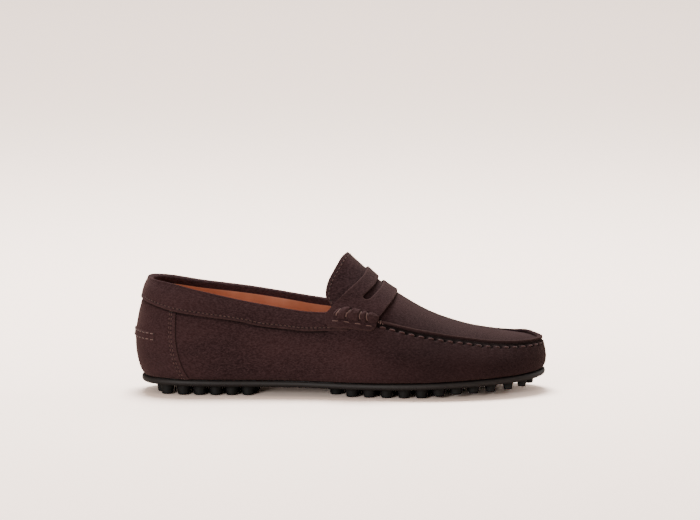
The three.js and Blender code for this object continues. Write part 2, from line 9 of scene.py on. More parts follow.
import bmesh
import bpy
import numpy as np
from bpy.props import FloatProperty, FloatVectorProperty, PointerProperty
from bpy.types import Operator, Panel, PropertyGroup
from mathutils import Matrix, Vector


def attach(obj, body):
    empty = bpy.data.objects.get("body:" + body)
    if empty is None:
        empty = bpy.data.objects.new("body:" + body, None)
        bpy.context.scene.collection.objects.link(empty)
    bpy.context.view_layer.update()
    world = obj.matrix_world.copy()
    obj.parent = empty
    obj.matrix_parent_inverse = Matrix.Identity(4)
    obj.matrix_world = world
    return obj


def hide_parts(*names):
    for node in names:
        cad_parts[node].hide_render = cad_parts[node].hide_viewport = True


bl_info = {
    "name": "Driving moccasin",
    "version": (1, 0, 0),
    "blender": (4, 5, 0),
    "location": "View3D > Sidebar > Moccasin",
    "description": "Builds a suede driving moccasin round its packed frame",
    "category": "Add Mesh",
}

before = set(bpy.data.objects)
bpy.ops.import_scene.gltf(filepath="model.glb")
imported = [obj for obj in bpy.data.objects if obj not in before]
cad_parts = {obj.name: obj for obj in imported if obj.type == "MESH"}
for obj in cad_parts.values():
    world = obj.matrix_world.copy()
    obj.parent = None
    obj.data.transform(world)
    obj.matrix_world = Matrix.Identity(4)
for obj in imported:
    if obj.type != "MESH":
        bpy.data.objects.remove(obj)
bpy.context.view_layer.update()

MM = 0.001
HEEL_TO_MIDDLE = 141.8402  # from the heel's zero to the frame's origin
OUTER_TO_MIDDLE = -1.3335
COLUMNS = 24  # points round the outline; 0 is the heel, 12 the toe
TOE = 12.0
SIDES = ((-1, "outer"), (1, "inner"))
HEEL_COLUMN = 23.5  # millimetres of wall to a column at the heel piece's front edge

LEATHER = 1.3
LINING = 0.8
SOLE_THICK = 4.2
GAP = 0.3
LIP_HEIGHT = 2.6
HEEL_SEAM = 2.1
COLLAR_FRONT = 5.4
COLLAR_TURN = 4.8
COLLAR_THICK = 1.1
STRAP_REAR = 5.62
STRAP_FRONT = 6.5
STRAP_FLARE = 0.2
BAND_REACH = 1.42
BAND_LOW = 0.4
BAND_HIGH = 0.495
TONGUE_SKEW = 0.14
TONGUE_CUT = 3.4
LAST_STUD_ROW = 268.3
STUD_INSET = 9  # from the sole's edge to the middle of the outermost stud
STUD_GAP = 12
TOE_STUD_SHARE = 0.72
ROLL_HEIGHT = 8.5
ROLL_RISE = 4.0
SEAM_FROM = 6.64  # first hand stitch
BEAD_FROM = 5.74  # the raised seam runs on under the strap
SEAM_DROP = 4.1  # stitch line below the lip's top

OUTLINE = [
    (5.8, 0), (11, -18.5), (27, -29.5), (52, -33), (85, -33.5), (118, -36),
    (150, -42), (182, -47.5), (212, -48), (240, -42), (262, -31), (277, -17),
    (283.6, 2), (279, 20), (265, 33), (244, 41.5), (216, 45.5), (186, 43),
    (155, 35), (122, 28.5), (88, 28), (54, 31), (28, 29), (11, 18.5),
]
SOLE_TOP = [
    (0, 11.5), (25, 11.4), (50, 11.1), (110, 10.9), (150, 10.3), (180, 10.6), (205, 11.2), (240, 12.6),
    (260, 13.5), (272, 14.2), (285, 15.4),
]
STUD_FOOT = [(0, 0), (195, 0), (223, 2.4), (235, 2.9), (247, 3.2), (259, 3.9), (268, 4.9), (276, 5.8)]
WALL_TOP_OUTER = [
    (5, 78.8), (24, 76.4), (45, 71.6), (73, 65.6), (89, 62.6), (116, 58.2), (134, 57.4), (150, 56.6),
    (168, 53.8), (194, 47.8), (215, 44.2), (230, 42.1), (250, 39), (266, 37.8), (276, 37.8), (284, 37.6),
]
WALL_TOP_INNER = [
    (5, 78.8), (24, 76.1), (45, 72.5), (73, 68.9), (89, 66.5), (116, 61.8), (134, 58.8), (150, 56.8),
    (168, 54), (194, 48.6), (215, 45), (230, 42.4), (250, 39.8), (266, 39.2), (276, 39.6), (284, 37.6),
]
INSET_OUTER = [
    (5, 3.9), (27, 4.8), (52, 5.5), (85, 4.2), (118, 4.2), (150, 7), (182, 10), (212, 11), (240, 10),
    (262, 7), (277, 3), (284, 1),
]
INSET_INNER = [
    (5, 3.9), (28, 4.8), (54, 3.5), (88, -0.5), (122, -1.5), (155, 1.5), (186, 6.5), (216, 9.5),
    (244, 9.5), (265, 6.5), (279, 2.8), (284, 1),
]
BULGE = [(5, 6), (30, 5.2), (85, 4.2), (182, 4), (240, 4), (262, 3.2), (284, 2.4)]
CROWN = [
    (148, 96.4), (155, 90.6), (161, 84.9), (171, 76), (182, 68.4), (198, 58.6), (214, 51.2), (231, 46.1),
    (246, 43.2), (254, 41.4), (264, 40), (274, 38.2), (279, 36.4), (284, 33.4),
]
LEAN = [(134, 21.8), (152, 16.2), (168, 12), (200, 6.8), (230, 4), (262, 1.5), (277, 0.5), (284, 0)]
ROUNDNESS = [(134, 0.85), (168, 0.7), (200, 0.4), (230, 0.2), (284, 0.1)]
COLLAR_DROP = [
    (5, 13.2), (14, 15), (27, 16.6), (45, 15.4), (73, 13.4), (89, 13.6), (105, 12.4), (124, 11.6),
    (145, 10),
]
TONGUE_BACK = [
    (-0.15, 15.9), (0, 15.2), (0.15, 15.9), (0.3, 17.8), (0.5, 18.7), (0.7, 15.1), (0.85, 8), (1, 2),
]
TONGUE_RISE = [
    (-0.15, 11.7), (0, 12.4), (0.15, 11.7), (0.3, 8.3), (0.5, 4.8), (0.7, 2.8), (0.85, 2.8), (1, 3),
]


# ------------------------------------------------------------------ settings
def linear(hex_colour):
    """An sRGB hex colour as linear RGB."""
    parts = [int(hex_colour[i : i + 2], 16) / 255 for i in (1, 3, 5)]
    return tuple(p / 12.92 if p <= 0.04045 else ((p + 0.055) / 1.055) ** 2.4 for p in parts)


def colour_property(name, hex_colour, description):
    return FloatVectorProperty(
        name=name, description=description, subtype="COLOR", size=3, min=0, max=1,
        default=linear(hex_colour),
    )


def length_property(name, millimetres, description):
    return FloatProperty(
        name=name, description=description, subtype="DISTANCE", unit="LENGTH", default=millimetres * MM
    )


class MoccasinSizes(PropertyGroup):
    collar_pitch: length_property("Collar stitch pitch", 3.0, "Distance between stitches of the collar row")
    heel_pitch: length_property("Heel stitch pitch", 3.1, "Distance between stitches of the heel piece")
    tongue_pitch: length_property("Tongue stitch pitch", 3.4, "Distance between stitches along the tongue")
    seam_pitch: length_property(
        "Seam stitch pitch", 6.7, "Distance between the hand stitches of the apron seam",
    )
    thread: length_property("Thread thickness", 0.5, "Diameter of the machine sewn thread")
    hand_thread: length_property(
        "Hand thread thickness", 1.0, "Diameter of the waxed thread of the hand sewn seam",
    )
    stud_radius: length_property("Stud radius", 4.65, "Radius of a stud where it leaves the sole")


class MoccasinColours(PropertyGroup):
    suede: colour_property("Suede", "#3f292a", "Brushed pile of the upper")
    suede_dark: colour_property("Suede, dark lay", "#27181a", "Pile lying away from the light")
    suede_light: colour_property("Suede, light lay", "#5a4345", "Pile lying towards the light")
    # The edge colour is also a painted highlight on the tops of the seam bead and the rolls.
    suede_edge_and_highlight: colour_property("Suede edge", "#5b4441", "Cut edges of the suede")
    thread: colour_property("Thread", "#775850", "Machine sewn thread")
    hand_thread: colour_property("Hand thread", "#58302c", "Waxed thread of the apron seam")
    lining: colour_property("Lining", "#e29f80", "Undyed leather inside")
    sock: colour_property("Sock", "#c07449", "Undyed leather under the foot")
    rim: colour_property("Sole rim", "#221e1d", "Moulded edge of the sole")
    studs: colour_property("Studs", "#151413", "Rubber studs")
    floor: colour_property("Floor", "#ead8cc", "Floor and backdrop")


# ------------------------------------------------------------------ curves of the last
def smoothstep(low, high, x):
    t = np.clip((np.asarray(x, float) - low) / (high - low), 0, 1)
    return t * t * (3 - 2 * t)


def along(rows, x):
    """Smooth curve through (position, value) rows, held at its ends."""
    rows = np.asarray(rows, float)
    place, value = rows[:, 0], rows[:, 1]
    x = np.clip(x, place[0], place[-1])
    i = np.clip(np.searchsorted(place, x, side="right") - 1, 0, len(place) - 2)
    before = np.maximum(np.arange(len(place)) - 1, 0)
    after = np.minimum(np.arange(len(place)) + 1, len(place) - 1)
    slope = (value[after] - value[before]) / (place[after] - place[before])
    width = place[i + 1] - place[i]
    t = (x - place[i]) / width
    rise = value[i + 1] - value[i]
    a, b = slope[i] * width, slope[i + 1] * width
    return value[i] + a * t + (3 * rise - 2 * a - b) * t**2 + (a + b - 2 * rise) * t**3


def through_points(points, u):
    """Smooth closed curve through points; u counts the points."""
    i = np.floor(u).astype(int)
    t = (u - i)[..., None]
    a, b, d, e = (points[(i + k) % len(points)] for k in (-1, 0, 1, 2))
    return 0.5 * (
        2 * b + (d - a) * t + (2 * a - 5 * b + 4 * d - e) * t**2 + (3 * b - a - 3 * d + e) * t**3
    )


def edge_point(column):
    """Point of the sole's edge in plan."""
    return through_points(np.asarray(OUTLINE, float), np.mod(np.asarray(column, float), COLUMNS))


def edge_out(column):
    """Unit vector out of the sole's edge in plan."""
    run = edge_point(np.asarray(column) + 0.02) - edge_point(np.asarray(column) - 0.02)
    run /= np.linalg.norm(run, axis=-1, keepdims=True)
    return np.stack([run[..., 1], -run[..., 0]], axis=-1)


def from_heel(column):
    """Column counted from the heel on either side, 0 to 12."""
    u = np.mod(np.asarray(column, float), COLUMNS)
    return np.minimum(u, COLUMNS - u)


def inner_share(column):
    """0 on the outer side, 1 on the inner side."""
    return smoothstep(-0.35, 0.35, -np.sin(np.asarray(column, float) / COLUMNS * 2 * math.pi))


def mixed(outer, inner, column, x):
    share = inner_share(column)
    return along(outer, x) * (1 - share) + along(inner, x) * share


def sole_top(column):
    return along(SOLE_TOP, edge_point(column)[..., 0])


def wall_top(column):
    return mixed(WALL_TOP_OUTER, WALL_TOP_INNER, column, edge_point(column)[..., 0])


def swept(column, v):
    """Columns near the heel piece's front edge lean forward towards the sole."""
    forward = 0.4 * np.maximum(0, 1 - v) ** 4
    u = np.mod(column + COLUMNS / 2, COLUMNS) - COLUMNS / 2
    return column + forward * (
        np.exp(-(((u - HEEL_SEAM) / 0.8) ** 2)) - np.exp(-(((u + HEEL_SEAM) / 0.8) ** 2))
    )


def wall_face(column, v):
    """Outer face of the upper's wall, v from 0 at the sole to 1 at the top edge."""
    column, v = np.broadcast_arrays(np.asarray(column, float), np.asarray(v, float))
    c = swept(column, v)
    edge = edge_point(c)
    out = edge_out(c)
    inset = mixed(INSET_OUTER, INSET_INNER, c, edge[..., 0])
    height = np.maximum(0, v)
    power = 1.8 + 1.4 * (1 - smoothstep(20, 60, edge[..., 0]))
    push = -inset * height**power + along(BULGE, edge[..., 0]) * np.sin(
        math.pi * np.minimum(height, 1.25) ** 0.75
    )
    bottom = along(SOLE_TOP, edge[..., 0]) + GAP
    z = bottom + (wall_top(c) - bottom) * v
    return np.concatenate([edge + out * push[..., None], z[..., None]], axis=-1)


def normal_of(face, a, b, da, db):
    across = face(a + da, b) - face(a - da, b)
    up = face(a, b + db) - face(a, b - db)
    n = np.cross(across, up)
    return n / np.linalg.norm(n, axis=-1, keepdims=True)


def wall_normal(column, v):
    return normal_of(wall_face, column, v, 0.05, 0.02)


def wall(column, v, depth):
    """Point at a depth under the wall's outer face."""
    column, v, depth = np.broadcast_arrays(*(np.asarray(q, float) for q in (column, v, depth)))
    return wall_face(column, v) - wall_normal(column, v) * depth[..., None]


def wall_height(column):
    return wall_top(column) - sole_top(column) - GAP


def below(column, drop):
    """v of a point some millimetres below the wall's top edge."""
    return 1 - drop / wall_height(column)


def lip(column):
    """How far the raised seam stands above the apron."""
    return LIP_HEIGHT * smoothstep(STRAP_FRONT - 0.9, STRAP_FRONT + 0.2, from_heel(column))


def arch(column, t, side):
    """Point of the arch between the crown line and the side points; t is -1 outside, 1 inside."""
    outer, inner = side(column), side(COLUMNS - column)
    edge = np.where((t < 0)[..., None], outer, inner)
    foot = (outer[..., 0] + inner[..., 0]) / 2
    x = foot + along(LEAN, foot)
    top = along(CROWN, x)
    r = along(ROUNDNESS, foot)
    k = np.abs(t)
    spread = (1 - r) * k + r * np.sin(k * math.pi / 2)
    fall = (1 - r) * k**2.2 + r * (1 - np.cos(k * math.pi / 2))
    middle = (outer[..., 1] + inner[..., 1]) / 2
    return np.stack(
        [
            x + (edge[..., 0] - x) * fall, middle + (edge[..., 1] - middle) * spread,
            top + (edge[..., 2] - top) * fall,
        ],
        axis=-1,
    )


def skin(column, a):
    """Surface the strap lies on: the arch up to a = 1, the wall beyond it."""
    column, a = np.broadcast_arrays(np.asarray(column, float), np.asarray(a, float))
    k = np.abs(a)
    own = np.where(a < 0, column, COLUMNS - column)
    on_wall = wall_face(own, 2 - np.maximum(k, 1))
    on_arch = arch(column, np.clip(a, -1, 1), lambda c: wall_face(c, np.ones_like(c)))
    return np.where((k > 1)[..., None], on_wall, on_arch)


def skin_at(column, a, lift):
    column, a, lift = np.broadcast_arrays(*(np.asarray(q, float) for q in (column, a, lift)))
    return skin(column, a) + normal_of(skin, column, a, 0.05, 0.04) * lift[..., None]


# ------------------------------------------------------------------ meshes
def to_frame(points):
    """Last coordinates in millimetres to the frame's metres."""
    points = np.asarray(points, float).reshape(-1, 3)
    return (points - np.array([HEEL_TO_MIDDLE, OUTER_TO_MIDDLE, 0])) * MM


ALL_SIDES = ("first_row", "last_row", "first_column", "last_column")


def samples(low, high, count, fine_low=0.0, fine_high=0.0):
    """Even steps, with extra ones within a fine distance of either end."""
    values = list(np.linspace(low, high, count + 1))
    for share in (0.04, 0.14, 0.32, 0.62, 1.0):
        if fine_low:
            values.append(low + fine_low * share)
        if fine_high:
            values.append(high - fine_high * share)
    return np.unique(np.round(values, 9))


def grid_normals(points):
    across = np.gradient(points, axis=0)
    up = np.gradient(points, axis=1)
    n = np.cross(across, up)
    return n / np.maximum(np.linalg.norm(n, axis=-1, keepdims=True), 1e-12)


def edge_distance(points, sides):
    """Distance over the surface to the nearest of the named grid sides."""
    rows = np.linalg.norm(np.diff(points, axis=0), axis=-1)
    cols = np.linalg.norm(np.diff(points, axis=1), axis=-1)
    down = np.concatenate([np.zeros_like(points[:1, :, 0]), np.cumsum(rows, axis=0)])
    over = np.concatenate([np.zeros_like(points[:, :1, 0]), np.cumsum(cols, axis=1)], axis=1)
    far = np.full(points.shape[:2], 1e6)
    options = {
        "first_row": down, "last_row": down[-1:] - down, "first_column": over,
        "last_column": over[:, -1:] - over,
    }
    for side in sides:
        far = np.minimum(far, options[side])
    return far


def rounded(distance, radius):
    """How far a rounded edge has dropped, as a share of its radius."""
    t = np.clip(1 - distance / radius, 0, 1)
    return 1 - np.sqrt(1 - t * t)


def two_grids(height, width):
    """Faces of two grids of points, the second one turned over."""
    index = np.arange(height * width).reshape(height, width)
    quads = np.stack(
        [index[:-1, :-1], index[1:, :-1], index[1:, 1:], index[:-1, 1:]], axis=-1,
    ).reshape(-1, 4)
    return np.concatenate([quads, quads[:, ::-1] + height * width])


def two_sides(outer, thick, distance):
    """Points, faces and edge tones of a sheet whose two faces meet in a rounded edge wherever distance is 0.
    """
    n = grid_normals(outer)
    drop = rounded(distance, thick * 0.5) * thick * 0.5
    top = outer - n * drop[..., None]
    under = outer - n * (thick - drop)[..., None]
    points = np.concatenate([top.reshape(-1, 3), under.reshape(-1, 3)])
    faces = two_grids(*outer.shape[:2])
    # The top face is lighter along its cut edges. The under face is painted dark as painted shade, lighter
    # only right at the rim.
    light = np.exp(-distance.reshape(-1) / (thick * 0.55))
    dark = 1 - 1.9 * smoothstep(0, thick * 0.3, distance.reshape(-1))
    return points, faces, np.concatenate([light, dark])


def closed_sheet(name, outer, thick, sides=ALL_SIDES, distance=None, crease=None):
    """Closed sheet with rounded edges under a grid of outer points; where crease is 1, it is painted dark as
    painted shade.
    """
    if distance is None:
        distance = edge_distance(outer, sides)
    points, faces, edge_and_painted_light = two_sides(outer, thick, distance)
    if crease is not None:
        # Painted shade: where crease is 1, it replaces the edge tone and darkens the colour nearly to black.
        painted_shade = np.tile(np.clip(crease, 0, 1).reshape(-1), 2)
        edge_and_painted_light = edge_and_painted_light * (1 - painted_shade) - painted_shade
    return solid_from(name, points, faces, edge_and_painted_light)


def joined_sheets(name, parts):
    """One object from several (points, faces, edge tones) that share borders."""
    points, faces, edge_and_painted_light, start = [], [], [], 0
    for own_points, own_faces, own_edge_and_painted_light in parts:
        points.append(own_points)
        faces.append(own_faces + start)
        edge_and_painted_light.append(own_edge_and_painted_light)
        start += len(own_points)
    return solid_from(name, np.concatenate(points), np.concatenate(faces), np.concatenate(edge_and_painted_light))


def loop_solid(name, sections, edge_and_painted_light=None):
    """Closed solid from a grid of closed cross-sections; collapsed end sections close it."""
    rows, width = sections.shape[:2]
    index = np.arange(rows * width).reshape(rows, width)
    across = np.roll(index, -1, axis=1)
    quads = np.stack([index[:-1], index[1:], across[1:], across[:-1]], axis=-1).reshape(-1, 4)
    return solid_from(name, sections.reshape(-1, 3), quads, edge_and_painted_light)


def solid_from(name, points, faces, edge_and_painted_light=None):
    """Object from points and faces, its doubles merged and its normals outward."""
    mesh = bpy.data.meshes.new(name)
    mesh.from_pydata(to_frame(points).tolist(), [], [list(dict.fromkeys(f)) for f in faces.tolist()])
    # The edge attribute holds lighter cut edges and painted highlights above 0, and painted shade below 0.
    if edge_and_painted_light is not None:
        attribute = mesh.attributes.new("edge", "FLOAT", "POINT")
        attribute.data.foreach_set("value", np.asarray(edge_and_painted_light, float))
    made = bmesh.new()
    made.from_mesh(mesh)
    bmesh.ops.remove_doubles(made, verts=made.verts, dist=0.000004)
    bmesh.ops.recalc_face_normals(made, faces=made.faces)
    for face in made.faces:
        face.smooth = True
    made.to_mesh(mesh)
    made.free()
    shown = bpy.data.objects.new(name, mesh)
    bpy.context.scene.collection.objects.link(shown)
    return shown


def finish_piece(piece, slot, material, *nodes):
    """Gives a piece its finish and ties it to the frame."""
    piece.data.materials.clear()
    piece.data.materials.append(material)
    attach(piece, "root")
    if nodes:
        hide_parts(*nodes)


# ------------------------------------------------------------------ materials
def node(tree, kind, options=(), values=(), links=()):
    """Adds a node with its options, socket values and incoming links."""
    made = tree.nodes.new(kind)
    for key, value in dict(options).items():
        setattr(made, key, value)
    for key, value in dict(values).items():
        made.inputs[key].default_value = value
    for key, socket in dict(links).items():
        tree.links.new(socket, made.inputs[key])
    return made


def blank_material(name):
    """A named material with only its output node, or None if it was made before."""
    if name in bpy.data.materials:
        return None
    made = bpy.data.materials.new(name)
    made.use_nodes = True
    made.node_tree.nodes.clear()
    return made


def rgba(colour):
    return (*colour[:3], 1.0)


def end_material(tree, shader):
    node(tree, "ShaderNodeOutputMaterial", links={"Surface": shader.outputs[0]})


def suede():
    """Napped split leather: its brushed pile lies in patches that catch the light or not."""
    name = "napped_suede"
    made = blank_material(name)
    if made is None:
        return bpy.data.materials[name]
    dye = colours()
    tree = made.node_tree
    place = node(tree, "ShaderNodeTexCoord").outputs["Object"]
    # Pile patches are about 20 to 60 mm long. Single fibres, under 0.1 mm, are drawn at 0.5 to 1.9 mm,
    # so that they show.
    stretched = node(tree, "ShaderNodeMapping", values={"Scale": (0.4, 0.8, 1.3), "Rotation": (0, 0.12, 0)},
                     links={"Vector": place})
    patches = node(
        tree, "ShaderNodeTexNoise", values={"Scale": 42, "Detail": 3, "Roughness": 0.45, "Distortion": 0.2},
        links={"Vector": stretched.outputs[0]},
    )
    broad = node(
        tree, "ShaderNodeTexNoise", values={"Scale": 17, "Detail": 2, "Roughness": 0.5},
        links={"Vector": place},
    )
    brushed = node(
        tree, "ShaderNodeMapping", values={"Scale": (0.6, 1.0, 1.25), "Rotation": (0.1, 0.3, 0.2)},
        links={"Vector": place},
    )
    pile = node(tree, "ShaderNodeTexNoise", values={"Scale": 900, "Detail": 4, "Roughness": 0.8},
                links={"Vector": brushed.outputs[0]})
    fibres = node(tree, "ShaderNodeTexNoise", values={"Scale": 1500, "Detail": 2, "Roughness": 0.8},
                  links={"Vector": brushed.outputs[0]})
    spread = node(tree, "ShaderNodeMath", {"operation": "MULTIPLY_ADD"}, {1: 0.7},
                  {0: broad.outputs["Fac"], 2: patches.outputs["Fac"]})
    lay = node(
        tree, "ShaderNodeMapRange", values={"From Min": 0.62, "From Max": 1.06},
        links={"Value": spread.outputs[0]},
    )
    speck = node(
        tree, "ShaderNodeMapRange", values={"From Min": 0.4, "From Max": 0.62},
        links={"Value": pile.outputs["Fac"]},
    )
    base = node(tree, "ShaderNodeMix", {"data_type": "RGBA"}, {6: rgba(dye.suede_dark), 7: rgba(dye.suede)},
                {0: lay.outputs[0]})
    amount = node(tree, "ShaderNodeMath", {"operation": "MULTIPLY"}, {1: 0.6}, {0: speck.outputs[0]})
    nap = node(tree, "ShaderNodeMix", {"data_type": "RGBA"}, {7: rgba(dye.suede_light)},
               {0: amount.outputs[0], 6: base.outputs[2]})
    # Cut edges are lighter. Painted highlights on the seam bead and the rolls use the same edge colour.
    edge_and_painted_light = node(tree, "ShaderNodeAttribute", {"attribute_name": "edge"})
    edge_and_painted_light_amount = node(tree, "ShaderNodeMath", {"operation": "MULTIPLY", "use_clamp": True}, {1: 0.5},
                {0: edge_and_painted_light.outputs["Fac"]})
    edge_and_highlight_coloured = node(tree, "ShaderNodeMix", {"data_type": "RGBA"}, {7: rgba(dye.suede_edge_and_highlight)},
                 {0: edge_and_painted_light_amount.outputs[0], 6: nap.outputs[2]})
    # Painted shade: where the edge attribute is below 0, the colour is darkened towards near black.
    painted_shade = node(tree, "ShaderNodeMath", {"operation": "MULTIPLY", "use_clamp": True}, {1: -0.92},
                   {0: edge_and_painted_light.outputs["Fac"]})
    with_painted_shade = node(tree, "ShaderNodeMix", {"data_type": "RGBA"}, {7: (*linear("#0c0606"), 1)},
                   {0: painted_shade.outputs[0], 6: edge_and_highlight_coloured.outputs[2]})
    # Painted shade: the colour darkens towards the toe, down to 0.55 of itself.
    apart = node(tree, "ShaderNodeSeparateXYZ", links={"Vector": place})
    front = node(
        tree, "ShaderNodeMapRange", {"interpolation_type": "SMOOTHSTEP"},
        {"From Min": -0.01, "From Max": 0.075, "To Min": 1.0, "To Max": 0.55},
        {"Value": apart.outputs["X"]},
    )
    final = node(tree, "ShaderNodeMix", {"data_type": "RGBA"}, {6: (0, 0, 0, 1)},
                 {0: front.outputs[0], 7: with_painted_shade.outputs[2]})
    relief = node(tree, "ShaderNodeMath", {"operation": "MULTIPLY_ADD"}, {1: 0.6},
                  {0: fibres.outputs["Fac"], 2: pile.outputs["Fac"]})
    bump = node(
        tree, "ShaderNodeBump", values={"Strength": 0.7, "Distance": 0.0005},
        links={"Height": relief.outputs[0]},
    )
    soft = node(tree, "ShaderNodeBump", values={"Strength": 0.2, "Distance": 0.0009},
                links={"Height": patches.outputs["Fac"], "Normal": bump.outputs[0]})
    shader = node(
        tree, "ShaderNodeBsdfPrincipled",
        values={
            "Roughness": 0.95, "Specular IOR Level": 0.12, "Sheen Weight": 0.55, "Sheen Roughness": 0.45,
            "Sheen Tint": (*linear("#8a6d68"), 1),
        },
        links={"Base Color": final.outputs[2], "Normal": soft.outputs[0]},
    )
    end_material(tree, shader)
    return made


def thread_material(name, colour, gloss):
    """Twisted polyester thread: dull, each ply's crown painted slightly lighter as a painted highlight."""
    made = blank_material(name)
    if made is None:
        return bpy.data.materials[name]
    tree = made.node_tree
    place = node(tree, "ShaderNodeTexCoord").outputs["Object"]
    # Plies of about 0.25 mm, drawn at 0.4 mm so that they show.
    plies = node(tree, "ShaderNodeTexNoise", values={"Scale": 2600, "Detail": 2}, links={"Vector": place})
    tone = node(tree, "ShaderNodeTexNoise", values={"Scale": 140, "Detail": 2}, links={"Vector": place})
    mix = node(
        tree, "ShaderNodeMath", {"operation": "MULTIPLY"},
        links={0: plies.outputs["Fac"], 1: tone.outputs["Fac"]},
    )
    shade = node(
        tree, "ShaderNodeMapRange", values={"From Min": 0.12, "From Max": 0.42},
        links={"Value": mix.outputs[0]},
    )
    # Painted highlight and shade: lighter where the plies' bump is high, darker between them, with random
    # changes of tone.
    dark = tuple(c * 0.55 for c in colour[:3])
    base = node(
        tree, "ShaderNodeMix", {"data_type": "RGBA"}, {6: (*dark, 1), 7: rgba(colour)},
        {0: shade.outputs[0]},
    )
    bump = node(
        tree, "ShaderNodeBump", values={"Strength": 0.5, "Distance": 0.00015},
        links={"Height": plies.outputs["Fac"]},
    )
    shader = node(tree, "ShaderNodeBsdfPrincipled",
                  values={"Roughness": gloss, "Sheen Weight": 0.25, "Specular IOR Level": 0.3},
                  links={"Base Color": base.outputs[2], "Normal": bump.outputs[0]})
    end_material(tree, shader)
    return made


def lining_leather(name, colour):
    """Vegetable tanned calf: smooth, satin, fine pores and slow changes of tan."""
    made = blank_material(name)
    if made is None:
        return bpy.data.materials[name]
    tree = made.node_tree
    place = node(tree, "ShaderNodeTexCoord").outputs["Object"]
    # Pores about 0.5 mm apart.
    pores = node(
        tree, "ShaderNodeTexVoronoi", {"feature": "SMOOTH_F1"}, {"Scale": 1900, "Smoothness": 0.6},
        {"Vector": place},
    )
    cloud = node(tree, "ShaderNodeTexNoise", values={"Scale": 45, "Detail": 4}, links={"Vector": place})
    shade = node(
        tree, "ShaderNodeMapRange", values={"From Min": 0.3, "From Max": 0.72},
        links={"Value": cloud.outputs["Fac"]},
    )
    deep = (colour[0] * 0.74, colour[1] * 0.6, colour[2] * 0.52, 1)
    base = node(
        tree, "ShaderNodeMix", {"data_type": "RGBA"}, {6: deep, 7: rgba(colour)}, {0: shade.outputs[0]},
    )
    gloss = node(
        tree, "ShaderNodeMapRange", values={"To Min": 0.42, "To Max": 0.6},
        links={"Value": cloud.outputs["Fac"]},
    )
    bump = node(
        tree, "ShaderNodeBump", values={"Strength": 0.25, "Distance": 0.0001},
        links={"Height": pores.outputs[0]},
    )
    shader = node(
        tree, "ShaderNodeBsdfPrincipled", values={"Specular IOR Level": 0.4},
        links={"Base Color": base.outputs[2], "Roughness": gloss.outputs[0], "Normal": bump.outputs[0]},
    )
    end_material(tree, shader)
    return made


def moulded_rubber(name, colour, rough):
    """Moulded rubber: matt, with a faint bloom and a fine spark-eroded grain."""
    made = blank_material(name)
    if made is None:
        return bpy.data.materials[name]
    tree = made.node_tree
    place = node(tree, "ShaderNodeTexCoord").outputs["Object"]
    # Mould grain about 0.4 mm.
    grain = node(tree, "ShaderNodeTexNoise", values={"Scale": 2400, "Detail": 2}, links={"Vector": place})
    bloom = node(
        tree, "ShaderNodeTexNoise", values={"Scale": 70, "Detail": 5, "Roughness": 0.6},
        links={"Vector": place},
    )
    shade = node(
        tree, "ShaderNodeMapRange", values={"From Min": 0.3, "From Max": 0.75},
        links={"Value": bloom.outputs["Fac"]},
    )
    light = tuple(min(1, c * 1.5 + 0.004) for c in colour[:3])
    base = node(
        tree, "ShaderNodeMix", {"data_type": "RGBA"}, {6: rgba(colour), 7: (*light, 1)},
        {0: shade.outputs[0]},
    )
    gloss = node(tree, "ShaderNodeMapRange", values={"To Min": rough - 0.08, "To Max": rough + 0.12},
                 links={"Value": bloom.outputs["Fac"]})
    bump = node(
        tree, "ShaderNodeBump", values={"Strength": 0.3, "Distance": 0.0001},
        links={"Height": grain.outputs["Fac"]},
    )
    shader = node(
        tree, "ShaderNodeBsdfPrincipled", values={"Specular IOR Level": 0.45},
        links={"Base Color": base.outputs[2], "Roughness": gloss.outputs[0], "Normal": bump.outputs[0]},
    )
    end_material(tree, shader)
    return made


def fibre_board():
    """Pressed fibre board, foam and bonded sheet inside the shoe: matt and flecked."""
    made = blank_material("pressed_fibre")
    if made is None:
        return bpy.data.materials["pressed_fibre"]
    tree = made.node_tree
    place = node(tree, "ShaderNodeTexCoord").outputs["Object"]
    # Flecks about 1 mm long.
    fleck = node(tree, "ShaderNodeTexNoise", values={"Scale": 900, "Detail": 4}, links={"Vector": place})
    base = node(
        tree, "ShaderNodeMix", {"data_type": "RGBA"},
        {6: rgba(linear("#8b7355")), 7: rgba(linear("#b09a78"))}, {0: fleck.outputs["Fac"]},
    )
    bump = node(
        tree, "ShaderNodeBump", values={"Strength": 0.4, "Distance": 0.0002},
        links={"Height": fleck.outputs["Fac"]},
    )
    shader = node(tree, "ShaderNodeBsdfPrincipled", values={"Roughness": 0.9},
                  links={"Base Color": base.outputs[2], "Normal": bump.outputs[0]})
    end_material(tree, shader)
    return made


# ------------------------------------------------------------------ node trees for repeats
def new_tree(name, sockets):
    tree = bpy.data.node_groups.new(name, "GeometryNodeTree")
    tree.interface.new_socket("Geometry", in_out="INPUT", socket_type="NodeSocketGeometry")
    for label, kind, default in sockets:
        made = tree.interface.new_socket(label, in_out="INPUT", socket_type=kind)
        if default is not None:
            made.default_value = default
    tree.interface.new_socket("Geometry", in_out="OUTPUT", socket_type="NodeSocketGeometry")
    return tree, tree.nodes.new("NodeGroupInput")


def close_tree(tree, geometry, group_in):
    whole = node(tree, "GeometryNodeRealizeInstances", links={"Geometry": geometry})
    painted = node(tree, "GeometryNodeSetMaterial",
                   links={"Geometry": whole.outputs[0], "Material": group_in.outputs["Material"]})
    node(tree, "NodeGroupOutput", links={"Geometry": painted.outputs[0]})


